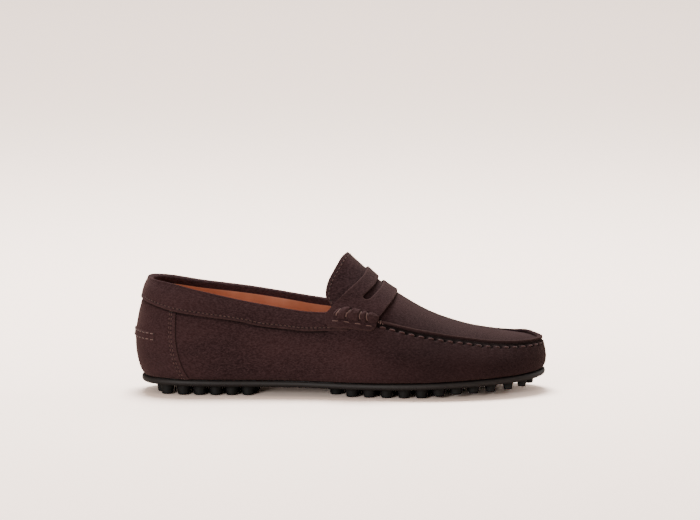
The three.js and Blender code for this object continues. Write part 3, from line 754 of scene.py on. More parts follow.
def stitch_row_tree():
    """Running stitches: short arched lengths of thread whose ends dive into the leather."""
    name = "Stitch row"
    if name in bpy.data.node_groups:
        return bpy.data.node_groups[name]
    tree, given = new_tree(
        name,
        [
            ("Pitch", "NodeSocketFloat", 0.003), ("Stitch Length", "NodeSocketFloat", 0.002),
            ("Thickness", "NodeSocketFloat", 0.0006), ("Dive", "NodeSocketFloat", 0.0006),
            ("Lean", "NodeSocketFloat", 0.0), ("Seed", "NodeSocketInt", 1),
            ("Material", "NodeSocketMaterial", None),
        ],
    )
    line = node(tree, "GeometryNodeMeshToCurve", links={"Mesh": given.outputs["Geometry"]})
    spaced = node(tree, "GeometryNodeResampleCurve", {"mode": "LENGTH"},
                  links={"Curve": line.outputs[0], "Length": given.outputs["Pitch"]})
    half = node(
        tree, "ShaderNodeMath", {"operation": "MULTIPLY"}, {1: 0.5}, {0: given.outputs["Stitch Length"]},
    )
    minus = node(
        tree, "ShaderNodeMath", {"operation": "MULTIPLY"}, {1: -0.5}, {0: given.outputs["Stitch Length"]},
    )
    start = node(tree, "ShaderNodeCombineXYZ", links={"X": minus.outputs[0]})
    end = node(tree, "ShaderNodeCombineXYZ", links={"X": half.outputs[0]})
    core = node(
        tree, "GeometryNodeCurvePrimitiveLine", links={"Start": start.outputs[0], "End": end.outputs[0]},
    )
    points = node(tree, "GeometryNodeResampleCurve", values={"Count": 9}, links={"Curve": core.outputs[0]})
    share = node(tree, "GeometryNodeSplineParameter")
    centred = node(
        tree, "ShaderNodeMapRange", values={"To Min": -1.0, "To Max": 1.0},
        links={"Value": share.outputs["Factor"]},
    )
    even = node(tree, "ShaderNodeMath", {"operation": "ABSOLUTE"}, links={0: centred.outputs[0]})
    steep = node(tree, "ShaderNodeMath", {"operation": "POWER"}, {1: 3.5}, {0: even.outputs[0]})
    sunk = node(
        tree, "ShaderNodeMath", {"operation": "MULTIPLY"},
        links={0: steep.outputs[0], 1: given.outputs["Dive"]},
    )
    down = node(tree, "ShaderNodeMath", {"operation": "MULTIPLY"}, {1: -1.0}, {0: sunk.outputs[0]})
    lift = node(tree, "ShaderNodeCombineXYZ", links={"Z": down.outputs[0]})
    arched = node(
        tree, "GeometryNodeSetPosition", links={"Geometry": points.outputs[0], "Offset": lift.outputs[0]},
    )
    radius = node(
        tree, "ShaderNodeMath", {"operation": "MULTIPLY"}, {1: 0.5}, {0: given.outputs["Thickness"]},
    )
    ring = node(
        tree, "GeometryNodeCurvePrimitiveCircle", values={"Resolution": 7},
        links={"Radius": radius.outputs[0]},
    )
    stitch = node(tree, "GeometryNodeCurveToMesh", values={"Fill Caps": True},
                  links={"Curve": arched.outputs[0], "Profile Curve": ring.outputs[0]})
    lay_along(tree, given, spaced, stitch)
    return tree


def lay_along(tree, given, spaced, shape):
    """Ends a tree that sets a shape along a line, its X along the line and its Z away from the leather."""
    tangent = node(tree, "GeometryNodeInputTangent")
    outward = node(
        tree, "GeometryNodeInputNamedAttribute", {"data_type": "FLOAT_VECTOR"}, {"Name": "outward"},
    )
    along_seam = node(
        tree, "FunctionNodeAlignRotationToVector", {"axis": "X"}, links={"Vector": tangent.outputs[0]},
    )
    facing = node(tree, "FunctionNodeAlignRotationToVector", {"axis": "Z", "pivot_axis": "X"},
                  links={"Rotation": along_seam.outputs[0], "Vector": outward.outputs[0]})
    wander = node(tree, "FunctionNodeRandomValue", {"data_type": "FLOAT"}, {2: -0.09, 3: 0.09},
                  {"Seed": given.outputs["Seed"]})
    turned = node(
        tree, "ShaderNodeMath", {"operation": "ADD"},
        links={0: wander.outputs[1], 1: given.outputs["Lean"]},
    )
    turn = node(tree, "ShaderNodeCombineXYZ", links={"Z": turned.outputs[0]})
    leaned = node(tree, "FunctionNodeRotateRotation", {"rotation_space": "LOCAL"},
                  links={"Rotation": facing.outputs[0], "Rotate By": turn.outputs[0]})
    laid = node(
        tree, "GeometryNodeInstanceOnPoints",
        links={"Points": spaced.outputs[0], "Instance": shape.outputs[0], "Rotation": leaned.outputs[0]},
    )
    close_tree(tree, laid.outputs[0], given)


def needle_hole_tree():
    """Needle holes midway between stitches: small flattened domes, painted nearly black as painted shade."""
    name = "Needle holes"
    if name in bpy.data.node_groups:
        return bpy.data.node_groups[name]
    tree, given = new_tree(
        name,
        [
            ("Pitch", "NodeSocketFloat", 0.003), ("Hole Radius", "NodeSocketFloat", 0.0004),
            ("Lean", "NodeSocketFloat", 0.0), ("Seed", "NodeSocketInt", 1),
            ("Material", "NodeSocketMaterial", None),
        ],
    )
    line = node(tree, "GeometryNodeMeshToCurve", links={"Mesh": given.outputs["Geometry"]})
    spaced = node(tree, "GeometryNodeResampleCurve", {"mode": "LENGTH"},
                  links={"Curve": line.outputs[0], "Length": given.outputs["Pitch"]})
    dome = node(tree, "GeometryNodeMeshUVSphere", values={"Segments": 10, "Rings": 6},
                links={"Radius": given.outputs["Hole Radius"]})
    half = node(tree, "ShaderNodeMath", {"operation": "MULTIPLY"}, {1: 0.5}, {0: given.outputs["Pitch"]})
    aside = node(tree, "ShaderNodeCombineXYZ", links={"X": half.outputs[0]})
    shape = node(tree, "GeometryNodeTransform", values={"Scale": (1.0, 1.0, 0.45)},
                 links={"Geometry": dome.outputs[0], "Translation": aside.outputs[0]})
    lay_along(tree, given, spaced, shape)
    return tree


def thread_tree():
    """A length of thread laid along a path."""
    name = "Laid thread"
    if name in bpy.data.node_groups:
        return bpy.data.node_groups[name]
    tree, given = new_tree(
        name, [("Thickness", "NodeSocketFloat", 0.001), ("Material", "NodeSocketMaterial", None)],
    )
    line = node(tree, "GeometryNodeMeshToCurve", links={"Mesh": given.outputs["Geometry"]})
    radius = node(
        tree, "ShaderNodeMath", {"operation": "MULTIPLY"}, {1: 0.5}, {0: given.outputs["Thickness"]},
    )
    ring = node(
        tree, "GeometryNodeCurvePrimitiveCircle", values={"Resolution": 8},
        links={"Radius": radius.outputs[0]},
    )
    laid = node(tree, "GeometryNodeCurveToMesh", values={"Fill Caps": True},
                links={"Curve": line.outputs[0], "Profile Curve": ring.outputs[0]})
    close_tree(tree, laid.outputs[0], given)
    return tree


def stud_tree():
    """Studs set on points, each stretched to reach its own tread height."""
    name = "Stud group"
    if name in bpy.data.node_groups:
        return bpy.data.node_groups[name]
    tree, given = new_tree(
        name, [("Stud", "NodeSocketObject", None), ("Material", "NodeSocketMaterial", None)],
    )
    shape = node(tree, "GeometryNodeObjectInfo", links={"Object": given.outputs["Stud"]})
    points = node(tree, "GeometryNodeMeshToPoints", links={"Mesh": given.outputs["Geometry"]})
    size = node(tree, "GeometryNodeInputNamedAttribute", {"data_type": "FLOAT_VECTOR"}, {"Name": "size"})
    laid = node(
        tree, "GeometryNodeInstanceOnPoints",
        links={"Points": points.outputs[0], "Instance": shape.outputs["Geometry"], "Scale": size.outputs[0]},
    )
    close_tree(tree, laid.outputs[0], given)
    return tree


def through_tree(name, source, tree, values):
    """The plain mesh that a node tree makes from a source mesh."""
    holder = bpy.data.objects.new(name + "_path", source)
    bpy.context.scene.collection.objects.link(holder)
    modifier = holder.modifiers.new(tree.name, "NODES")
    modifier.node_group = tree
    for item in tree.interface.items_tree:
        if item.item_type == "SOCKET" and item.in_out == "INPUT" and item.name in values:
            modifier[item.identifier] = values[item.name]
    graph = bpy.context.evaluated_depsgraph_get()
    mesh = bpy.data.meshes.new_from_object(
        holder.evaluated_get(graph), preserve_all_data_layers=True, depsgraph=graph
    )
    holder.modifiers.remove(modifier)
    bpy.data.objects.remove(holder)
    mesh.name = name
    if not len(mesh.polygons):
        raise RuntimeError(name + " came out empty")
    mesh.polygons.foreach_set("use_smooth", [True] * len(mesh.polygons))
    made = bpy.data.objects.new(name, mesh)
    bpy.context.scene.collection.objects.link(made)
    return made


def path_mesh(name, runs):
    """Edges along each run of (points, outward directions)."""
    mesh = bpy.data.meshes.new(name)
    points = np.concatenate([to_frame(p) for p, _ in runs])
    outward = np.concatenate([np.asarray(n, float).reshape(-1, 3) for _, n in runs])
    edges = []
    start = 0
    for p, _ in runs:
        edges += [(start + i, start + i + 1) for i in range(len(p) - 1)]
        start += len(p)
    mesh.from_pydata(points.tolist(), edges, [])
    attribute = mesh.attributes.new("outward", "FLOAT_VECTOR", "POINT")
    attribute.data.foreach_set("vector", outward.reshape(-1))
    return mesh


def stitch_row(name, runs, pitch, length, thickness, material, nodes=(), dive=0.0006, lean=0.0, seed=1):
    made = through_tree(name, path_mesh(name, runs), stitch_row_tree(), {
        "Pitch": pitch, "Stitch Length": length, "Thickness": thickness, "Dive": dive, "Lean": lean,
        "Seed": seed, "Material": material,
    })
    finish_piece(made, "thread", material, *nodes)
    return made


def needle_holes(name, runs, pitch):
    # The holes are painted nearly black as painted shade.
    dark = thread_material("needle_hole", linear("#0f0808"), 0.95)
    made = through_tree(name, path_mesh(name, runs), needle_hole_tree(),
                        {"Pitch": pitch, "Hole Radius": HOLE_RADIUS, "Seed": 1, "Material": dark})
    finish_piece(made, "thread", dark)
    return made


MACHINE_STITCH = 0.0019  # metres of thread that show
BAND_PITCH = 0.0041
HOLE_RADIUS = 0.00042


def surface_run(place, first, second, lift):
    """Points a little above a surface, with their outward directions."""
    first, second = np.broadcast_arrays(np.asarray(first, float), np.asarray(second, float))
    low, high = place(first, second, np.zeros_like(first)), place(first, second, np.ones_like(first))
    n = high - low
    n /= np.linalg.norm(n, axis=-1, keepdims=True)
    return low + n * lift, n


# ------------------------------------------------------------------ shapes of the pieces
def undulation(x, y, amount):
    """Slow unevenness of leather over a last, in millimetres."""
    return amount * (
        np.sin(x / 11.3 + 0.7) * np.cos(y / 13.7 + 1.1)
        + 0.6 * np.sin(x / 6.1 + y / 7.9 + 2.3)
        + 0.4 * np.cos(x / 4.3 - y / 9.1 + 0.4)
    )


def seam_shown(column):
    """1 where the raised apron seam shows, 0 under and behind the strap."""
    return smoothstep(6.42, 6.6, from_heel(column))


def seam_arc(column):
    """Distance along the apron seam in millimetres."""
    fine = np.linspace(5.5, COLUMNS - 5.5, 900)
    line = wall_face(fine, below(fine, 4.0))
    length = np.concatenate([[0], np.cumsum(np.linalg.norm(np.diff(line, axis=0), axis=1))])
    return np.interp(column, fine, length)


def seam_start():
    return float(seam_arc(np.array([SEAM_FROM]))[0])


def stitch_gap(column, pitch):
    """1 midway between two hand stitches, 0 on a stitch."""
    phase = (seam_arc(column) - seam_start()) / pitch * 2 * math.pi
    return (0.5 - 0.5 * np.cos(phase)) ** 2


def collar_press(column, drop):
    """The collar's edge presses a narrow groove into the leather under it."""
    return 0.55 * np.exp(-(((drop - collar_drop(column) - 0.15) / 0.75) ** 2))


def vamp_points(column, v, pitch):
    """Outer face of the vamp with its seam groove, stitch pits and puckers."""
    column, v = np.broadcast_arrays(np.asarray(column, float), np.asarray(v, float))
    drop = (1 - v) * wall_height(column)
    up = v * wall_height(column)
    shown = seam_shown(column)
    gap = stitch_gap(column, pitch)
    under_heel_piece = 1 - smoothstep(HEEL_SEAM - 0.06, HEEL_SEAM, from_heel(column))
    depth = 1.25 * under_heel_piece
    depth = depth + 0.75 * np.exp(-up / 1.1)
    at_toe = smoothstep(11.0, 11.9, from_heel(column))
    depth = depth + shown * (0.9 - 0.5 * at_toe) * (1 - smoothstep(2.4, 4.1, drop))
    depth = depth + shown * gap * 1.3 * np.exp(-(((drop - SEAM_DROP) / 0.95) ** 2))
    depth = depth + shown * (gap - 0.4) * 0.4 * np.exp(
        -np.maximum(drop - 4.8, 0) / 3.4
    ) * smoothstep(3.6, 4.8, drop)
    beside = 1 - smoothstep(COLLAR_FRONT, COLLAR_FRONT + 0.2, from_heel(column))
    depth = depth + collar_press(column, drop) * beside
    surface = wall_face(column, v)
    depth = depth + undulation(surface[..., 0] + surface[..., 1], surface[..., 2], 0.09)
    return wall(column, v, depth)


def vamp_painted_shade(column, v, pitch):
    """Painted shade on the vamp: in the groove under the raised seam, between its stitches, under the
    collar's edge and just ahead of the heel piece's edge.
    """
    drop = (1 - v) * wall_height(column)
    shown = seam_shown(column)
    gap = stitch_gap(column, pitch)
    groove = shown * (1 - smoothstep(3.2 + 0.9 * gap, 4.1 + 0.9 * gap, drop))
    pits = shown * gap * np.exp(-(((drop - SEAM_DROP) / 0.9) ** 2))
    beside = 1 - smoothstep(COLLAR_FRONT, COLLAR_FRONT + 0.2, from_heel(column))
    ahead = np.maximum(from_heel(column) - HEEL_SEAM, 0) * HEEL_COLUMN
    return groove + pits + collar_shade(column, drop) * beside + 0.7 * np.exp(-((ahead / 0.6) ** 2))


# Painted shadow just below the collar's lower edge.
def collar_shade(column, drop):
    return 0.95 * np.exp(-(((drop - collar_drop(column) - 0.25) / 0.75) ** 2))


def lap(column, v):
    """How far the heel piece's front edge stands proud of the vamp."""
    behind = HEEL_SEAM - from_heel(column)
    return (1 - smoothstep(0.05, 0.6, behind)) * (1 - 0.6 * smoothstep(0.66, 0.8, v))


def heel_piece_points(column, v):
    column, v = np.broadcast_arrays(np.asarray(column, float), np.asarray(v, float))
    behind = (HEEL_SEAM - from_heel(column)) * HEEL_COLUMN
    rows = np.exp(-(((behind - 2.7) / 0.4) ** 2)) + np.exp(-(((behind - 4.3) / 0.4) ** 2))
    up = v * wall_height(column)
    surface = wall_face(column, v)
    depth = 0.25 * rows - lap(column, v) + 0.75 * np.exp(-up / 1.1)
    depth = depth + collar_press(column, (1 - v) * wall_height(column))
    depth = depth + undulation(surface[..., 1], surface[..., 2], 0.07)
    return wall(column, v, depth)


def band_v(column, share):
    """v on the heel band, share 0 at its lower edge and 1 at its upper edge."""
    return BAND_LOW + (BAND_HIGH - BAND_LOW) * share + 0 * column


def collar_drop(column):
    return along(COLLAR_DROP, edge_point(column)[..., 0])


def collar_point(column, place, lift=0.0):
    """Outer surface of the folded collar; place is 0 to 1 outside, 1 to 2 over the fold, 2 to 3 inside."""
    column, place = np.broadcast_arrays(np.asarray(column, float), np.asarray(place, float))
    away = GAP + COLLAR_THICK
    drop = collar_drop(column)
    shrink = 1 - 0.5 * smoothstep(COLLAR_FRONT + 0.15, COLLAR_FRONT + 0.45, np.abs(column))
    outer_share = np.clip(place, 0, 1)
    from_edge = outer_share * drop
    puff = 0.5 * np.sin(math.pi * np.clip((from_edge - 1.6) / (drop - 1.6), 0, 1)) * shrink
    groove = 0.28 * np.exp(-(((from_edge - 2.1) / 0.5) ** 2))
    outside = wall(column, below(column, drop * (1 - outer_share)), -(away * shrink + puff - groove + lift))
    angle = np.clip(place - 1, 0, 1) * math.pi
    low, high = -away, LEATHER + away
    middle, half = (low + high) / 2, (high - low) / 2
    over = wall(column, np.ones_like(column), middle - (half + lift) * np.cos(angle))
    rise = (away + 0.15 + lift) * shrink * np.sin(angle) ** 0.65
    over = over + np.stack([0 * rise, 0 * rise, rise], axis=-1)
    inside = wall(column, below(column, COLLAR_TURN * np.clip(place - 2, 0, 1)), high + lift)
    picked = np.where((place <= 1)[..., None], outside, over)
    return np.where((place > 2)[..., None], inside, picked)


def apron_side(column):
    """Line where the apron's edge disappears into the raised seam."""
    column = np.asarray(column, float)
    return wall(column, below(column, LIP_HEIGHT * seam_shown(column) + 0.2), np.full_like(column, 2.5))


def apron_points(place, t):
    """Apron and tongue: place -1 is the tongue's free edge, 0 the strap's rear edge, 1 the toe."""
    place, t = np.broadcast_arrays(np.asarray(place, float), np.asarray(t, float))
    column = STRAP_REAR + np.maximum(place, 0) * (TOE - STRAP_REAR)
    point = arch(column, t, apron_side)
    share = np.maximum(-place, 0)
    k = np.abs(t + TONGUE_SKEW * (1 - t * t))
    cut = TONGUE_CUT * smoothstep(-0.3, 0.1, t) * (1 - smoothstep(0.6, 1, t))
    back = np.stack([cut - along(TONGUE_BACK, k), 0 * k, along(TONGUE_RISE, k)], axis=-1)
    point = point + back * share[..., None]
    point[..., 2] += undulation(point[..., 0], point[..., 1], 0.08) * (1 - smoothstep(0.85, 1, place))
    return point


SEAM_PROFILE = [
    (-2.4, -4.8), (-1.75, -4.0), (-1.15, -3.2), (-0.6, -2.3), (-0.1, -1.4), (0.1, -0.7), (-0.15, -0.15),
    (-0.75, 0.0), (-1.25, -0.12), (-1.5, -0.42), (-1.8, -0.15), (-2.4, -0.05), (-3.0, -0.35), (-3.35, -1.1),
    (-3.4, -2.2), (-3.3, -3.4), (-2.9, -4.6),
]


def smooth_loop(points, count):
    """Even samples of a closed smooth curve through points."""
    return through_points(np.asarray(points, float), np.arange(count) / count * len(points))


def seam_sections(column, pitch):
    """Cross-sections of the raised seam: the two turned-up edges held together."""
    profile = smooth_loop(SEAM_PROFILE, 40)
    top = wall_face(column, np.ones_like(column))
    out = wall_normal(column, np.full_like(column, 0.96))
    out[:, 2] = 0
    out /= np.linalg.norm(out, axis=1, keepdims=True)
    gap = stitch_gap(column, pitch)
    size = np.sqrt(np.clip(1 - ((from_heel(column) - TOE) / (TOE - BEAD_FROM)) ** 60, 0, 1))
    across, rise = profile[:, 0] + 1.3, profile[:, 1] + 2.3
    pinch = 1 + 0.12 * (gap[:, None] - 0.4) * (across > 0)
    ragged = 0.1 * np.sin(seam_arc(column) * 2.9) * np.sin(seam_arc(column) * 1.7 + 1)
    a = across * size[:, None] * pinch - 1.3 + 0.8 * smoothstep(11.1, 12, from_heel(column))[:, None]
    b = rise * size[:, None] - 2.3
    b = b + (ragged + 0.15 * np.sin(seam_arc(column) / 8.7))[:, None] * (rise > 1.2)
    points = top[:, None, :] + out[:, None, :] * a[..., None]
    points[..., 2] += b
    # Painted highlight on the top of the bead, and painted shade on its lower, undercut face.
    light = 1.3 * np.clip((profile[:, 1] + 1.3) / 0.7, 0, 1) * (profile[:, 0] > -1.5)
    dark = np.clip((-2.2 - profile[:, 1]) / 0.9, 0, 1) * (profile[:, 0] > -2.6)
    edge_and_painted_light_amount = np.tile(light - dark, len(column))
    return points, edge_and_painted_light_amount


SLOT_CENTRE = 0.47
SLOT_STRAIGHT = 0.64  # straight half of the slot, as a share of the arch
SLOT_RADIUS = 2.3
ACROSS_MM = 27.0  # strap width at the instep
ALONG_MM = 47.0  # arch length from crown to side
STRAP_DROP = 8.6
TAB_WIDTH = 36
TAB_CORNER = 5.5
TAB_ALONG = 44  # millimetres to a share of the arch, past its side


def strap_column(a, w):
    rear = STRAP_REAR - STRAP_FLARE * smoothstep(0.3, 1, np.abs(a))
    return rear + (STRAP_FRONT - rear) * w


def strap_lift(a, w):
    """The strap climbs over the collar's end at the sides."""
    over_collar = smoothstep(0.8, 1.0, np.abs(a)) * (1 - smoothstep(0.25, 0.9, w))
    return GAP + 0.35 + LEATHER + 1.25 * over_collar


def strap_point(w, a, lift=0.0):
    column = strap_column(a, w)
    return skin_at(column, a, strap_lift(a, w) + lift)


def strap_end(w):
    """Share of the arch at the tab's end, with rounded corners."""
    into = np.minimum(w, 1 - w) * TAB_WIDTH
    corner = TAB_CORNER - np.sqrt(np.maximum(TAB_CORNER**2 - np.maximum(TAB_CORNER - into, 0) ** 2, 0))
    return 1 + (STRAP_DROP - corner) / TAB_ALONG


def slot_half(a):
    """Half width of the slot as a share of the strap's width."""
    past = np.clip((np.abs(a) - SLOT_STRAIGHT) * ALONG_MM / SLOT_RADIUS, 0, 1)
    return SLOT_RADIUS / ACROSS_MM * np.sqrt(1 - past**2)


def strap_halves():
    """The strap behind and in front of its slot, sharing the line beyond the slot's ends."""
    slot_end = SLOT_STRAIGHT + SLOT_RADIUS / ALONG_MM
    fine = slot_end - SLOT_RADIUS / ALONG_MM * (1 - np.cos(np.linspace(0, math.pi / 2, 9)))
    outer_run = np.concatenate([samples(slot_end, 1.0, 22), samples(1.0, 1.2, 9, 0, 0.02)])
    half = np.unique(np.round(np.concatenate([np.linspace(0, SLOT_STRAIGHT, 34), fine, outer_run]), 7))
    run = np.concatenate([-half[::-1], half[1:]]) / half[-1]
    parts = []
    for front in (False, True):
        share = samples(0, 1, 22, 0.06, 0.1)
        q, s = np.meshgrid(share, run, indexing="ij")
        flat_w = np.where(front, 1 - q * (1 - SLOT_CENTRE), q * SLOT_CENTRE)
        reach = np.abs(s) * half[-1]
        beyond = (reach - slot_end) * (strap_end(flat_w) - slot_end) / (half[-1] - slot_end)
        a = np.sign(s) * np.where(reach > slot_end, slot_end + beyond, reach)
        opening = slot_half(a)
        if front:
            w = 1 - q * (1 - SLOT_CENTRE - opening)
        else:
            w = q * (SLOT_CENTRE - opening)
        points = strap_point(w, a)
        outline = edge_distance(points, ("first_row", "first_column", "last_column"))
        past = np.maximum((np.abs(a) - SLOT_STRAIGHT) * ALONG_MM, 0)
        slot = np.maximum(np.hypot(past, (w - SLOT_CENTRE) * ACROSS_MM) - SLOT_RADIUS, 0)
        slot[np.abs(slot) < 0.02] = 0
        distance = np.minimum(outline, slot)
        if front:
            points, distance = points[::-1], distance[::-1]
        parts.append(two_sides(points, LEATHER + 0.2, distance))
    return parts


ROLL_FROM = 0.14
ROLL_TO = 1.03
ROLL_MIDDLE = (ROLL_FROM + ROLL_TO) / 2
ROLL_REACH = (ROLL_TO - ROLL_FROM) / 2
# Each wrap's place along the strap's width, and its slant.
ROLL_WRAPS = ((0.215, 0.0), (0.415, 0.01), (0.66, -0.03), (0.79, -0.045))
ROLL_TURN = 2.05  # half the angle of the roll's section, in radians


def roll_pinch(w, angle):
    """1 where a wrap draws the roll in."""
    pinch = np.zeros_like(w)
    for at, slant in ROLL_WRAPS:
        pinch = pinch + np.exp(-(((w - at + slant * angle / ROLL_TURN) / 0.026) ** 2))
    return pinch


def roll_point(side, w, angle, lift=0.0):
    """Surface of the gathered roll; the angle runs round its section, 0 at the crown."""
    end = np.sqrt(np.clip(1 - np.abs((w - ROLL_MIDDLE) / ROLL_REACH) ** 6, 0, 1))
    crease = 0.025 * np.sin(w * 47 + angle * 1.4) + 0.015 * np.sin(w * 93 - angle * 2.2 + 1)
    size = end * (1 - 0.36 * roll_pinch(w, angle) + crease)
    half = ROLL_HEIGHT / 2 / 45 * (1.05 - 0.1 * w)
    a = side * (1 - 0.03 * (1 - w) + half * np.sin(angle) * (size + 0 * w))
    rise = ROLL_RISE * size * (np.cos(angle) - math.cos(ROLL_TURN)) / (1 - math.cos(ROLL_TURN))
    return skin_at(strap_column(np.ones_like(w), w), a, strap_lift(np.ones_like(w), w) - 0.35 + rise + lift)


def roll_parts(side):
    w = ROLL_MIDDLE - ROLL_REACH * np.cos(np.linspace(0, math.pi, 190))
    w, angle = np.meshgrid(w, np.linspace(-ROLL_TURN, ROLL_TURN, 44), indexing="ij")
    top = roll_point(side, w, angle)
    share = (angle[..., None] / ROLL_TURN + 1) / 2
    floor = top[:, :1] + (top[:, -1:] - top[:, :1]) * share
    # Painted highlight on the roll's crown between the wraps; painted shade where the wraps draw it in and
    # where its sides tuck under.
    pinch = np.clip(roll_pinch(w, angle), 0, 1)
    tucked = smoothstep(1.25, 1.9, np.abs(angle))
    edge_and_painted_light = 0.3 * (1 - pinch) * np.clip(np.cos(angle), 0, 1) ** 2 - 0.7 * pinch - tucked
    points = np.concatenate([top.reshape(-1, 3), floor.reshape(-1, 3)])
    return points, two_grids(*w.shape), np.tile(np.clip(edge_and_painted_light, -1, 1).reshape(-1), 2)


RIM_PROFILE = [
    (-2.0, 0.0), (0.6, 0.0), (1.05, 0.22), (1.35, 0.75), (1.5, 1.7), (1.45, 2.6), (1.1, 3.45), (0.4, 4.02),
    (-0.6, 4.2),
]


def heel_to_toe(count):
    """Columns from heel to toe, closer together at both ends."""
    return TOE * (0.5 - 0.5 * np.cos(np.linspace(0, math.pi, count)))


def outsole_sections():
    """Closed cross-sections of the sole plate from heel to toe."""
    column = heel_to_toe(300)
    rows = []
    for c in column:
        sides = []
        for own in (c, COLUMNS - c):
            edge, out = edge_point(np.array(own)), edge_out(np.array(own))
            top = float(along(SOLE_TOP, edge[0]))
            sides.append([(edge[0] + out[0] * o, edge[1] + out[1] * o, top - d) for o, d in RIM_PROFILE])
        outer, inner = np.array(sides[0]), np.array(sides[1])
        share = np.linspace(0, 1, 20)[1:-1, None]
        bottom = outer[-1] + (inner[-1] - outer[-1]) * share
        top = inner[0] + (outer[0] - inner[0]) * share
        rows.append(np.concatenate([outer, bottom, inner[::-1], top]))
    return np.array(rows)


def sole_edges(x):
    """Outer and inner y of the sole's edge at a place along the shoe."""
    fine = np.linspace(0, TOE, 1200)
    outer, inner = edge_point(fine), edge_point(COLUMNS - fine)
    return float(np.interp(x, outer[:, 0], outer[:, 1])), float(np.interp(x, inner[:, 0], inner[:, 1]))


def stud_centres(first, count, pitch, bow):
    centres = []
    for i in range(count):
        x = min(first + i * pitch, LAST_STUD_ROW)
        outer, inner = sole_edges(x)
        across = inner - outer - 2 * STUD_INSET
        gaps = max(1, round(across / STUD_GAP))
        for k in range(gaps + 1):
            middle = 1 - (2 * k / gaps - 1) ** 2
            centres.append((x + float(bow(x)) * middle, outer + STUD_INSET + across * k / gaps))
    return centres


INSTEP_STUDS = [(139.5, -21), (139.5, -8), (139.5, 5), (139.5, 17)]


def heel_bow(x):
    return 4 * smoothstep(60, 78, x) - 3.5 * (1 - smoothstep(23, 32, x))


def forefoot_bow(x):
    return 6 * smoothstep(260, 268, x)


def stud_points(name, centres):
    mesh = bpy.data.meshes.new(name)
    places, sizes = [], []
    for x, y in centres:
        foot = max(0.0, float(along(STUD_FOOT, x)))
        root = float(along(SOLE_TOP, x)) - SOLE_THICK
        places.append((x, y, foot))
        narrow = 1 - (1 - TOE_STUD_SHARE) * float(smoothstep(215, 275, x))
        sizes.append((narrow, narrow, (root - foot + 0.25) / 6.25))
    mesh.from_pydata(to_frame(places).tolist(), [], [])
    attribute = mesh.attributes.new("size", "FLOAT_VECTOR", "POINT")
    attribute.data.foreach_set("vector", np.array(sizes).reshape(-1))
    return mesh


def stud_shape(radius):
    """One stud: tapered, with a soft tread edge and a fillet into the sole."""
    profile = [
        (0.0, 0.0), (0.6, 0.0), (0.74, 0.12), (0.82, 0.5), (0.86, 1.3), (0.93, 3.6), (1.0, 5.2),
        (1.12, 6.25),
    ]
    made = bmesh.new()
    for r, z in profile:
        made.verts.new((r * radius, 0, z * MM))
    made.verts.ensure_lookup_table()
    for i in range(len(profile) - 1):
        made.edges.new((made.verts[i], made.verts[i + 1]))
    bmesh.ops.spin(
        made, geom=made.verts[:] + made.edges[:], axis=(0, 0, 1), cent=(0, 0, 0), steps=16,
        angle=2 * math.pi,
    )
    bmesh.ops.remove_doubles(made, verts=made.verts, dist=0.00002)
    bmesh.ops.holes_fill(made, edges=[e for e in made.edges if e.is_boundary])
    bmesh.ops.recalc_face_normals(made, faces=made.faces)
    mesh = bpy.data.meshes.new("stud_shape")
    made.to_mesh(mesh)
    made.free()
    shape = bpy.data.objects.new("stud_shape", mesh)
    bpy.context.scene.collection.objects.link(shape)
    return shape


def footbed_grid(inset, height):
    """Grid over the footbed, its first and last rows collapsed at heel and toe."""
    column = heel_to_toe(130)
    share = samples(0, 1, 36, 0.03, 0.03)
    rows = []
    for c in column:
        ends = []
        for own in (c, COLUMNS - c):
            edge, out = edge_point(np.array(own)), edge_out(np.array(own))
            ends.append(edge - out * inset)
        line = ends[1] + (ends[0] - ends[1]) * share[:, None]
        rows.append(np.column_stack([line, height(line[:, 0], line[:, 1])]))
    return np.array(rows)


def sock_height(x, y):
    raised = 2.3 * smoothstep(84, 104, 188 - x)
    return along(SOLE_TOP, x) + 4.8 + raised + undulation(x, y, 0.05)


def lining_grid(columns, top_gap, start):
    share = samples(0, 1, 30, 0.03, 0.03)
    column, k = np.meshgrid(columns, share, indexing="ij")
    foot = below(column, wall_height(column) - 3.0)
    v = foot + (below(column, top_gap(column)) - foot) * k
    surface = wall_face(column, v)
    depth = start(column) + undulation(surface[..., 0], surface[..., 2], 0.08)
    return wall(column, v, depth)


# ------------------------------------------------------------------ operators
def sizes():
    return bpy.context.scene.moccasin_sizes


def colours():
    return bpy.context.scene.moccasin_colours


def machine_thread():
    return thread_material("sewing_thread", colours().thread, 0.8)


def hand_thread():
    return thread_material("waxed_hand_thread", colours().hand_thread, 0.6)


SENSOR = 36
CAMERA_DISTANCE = 4.0
CAMERA_RISE = math.radians(7.4)
VIEW_WIDTH = 0.4865  # metres across the frame at the shoe


class MOCCASIN_OT_camera(Operator):
    """Long lens at the outer side, a little above the floor"""

    bl_idname = "moccasin.camera"
    bl_label = "Camera"

    def execute(self, context):
        camera = bpy.data.cameras.new("side_view")
        camera.sensor_width = SENSOR
        camera.lens = SENSOR * CAMERA_DISTANCE / VIEW_WIDTH
        camera.clip_end = 50
        view = bpy.data.objects.new("side_view", camera)
        context.scene.collection.objects.link(view)
        target = Vector((0.0073, 0, 0.0912))
        back = Vector((0, -math.cos(CAMERA_RISE), math.sin(CAMERA_RISE)))
        view.location = target + back * CAMERA_DISTANCE
        view.rotation_mode = "QUATERNION"
        view.rotation_quaternion = (-back).to_track_quat("-Z", "Y")
        context.scene.camera = view
        return {"FINISHED"}


FLOOR_GAIN = 3.75  # how much brighter than its paint the floor shows
FLOOR_LIGHT = 0.7  # how much of its paint's light the floor throws on the shoe


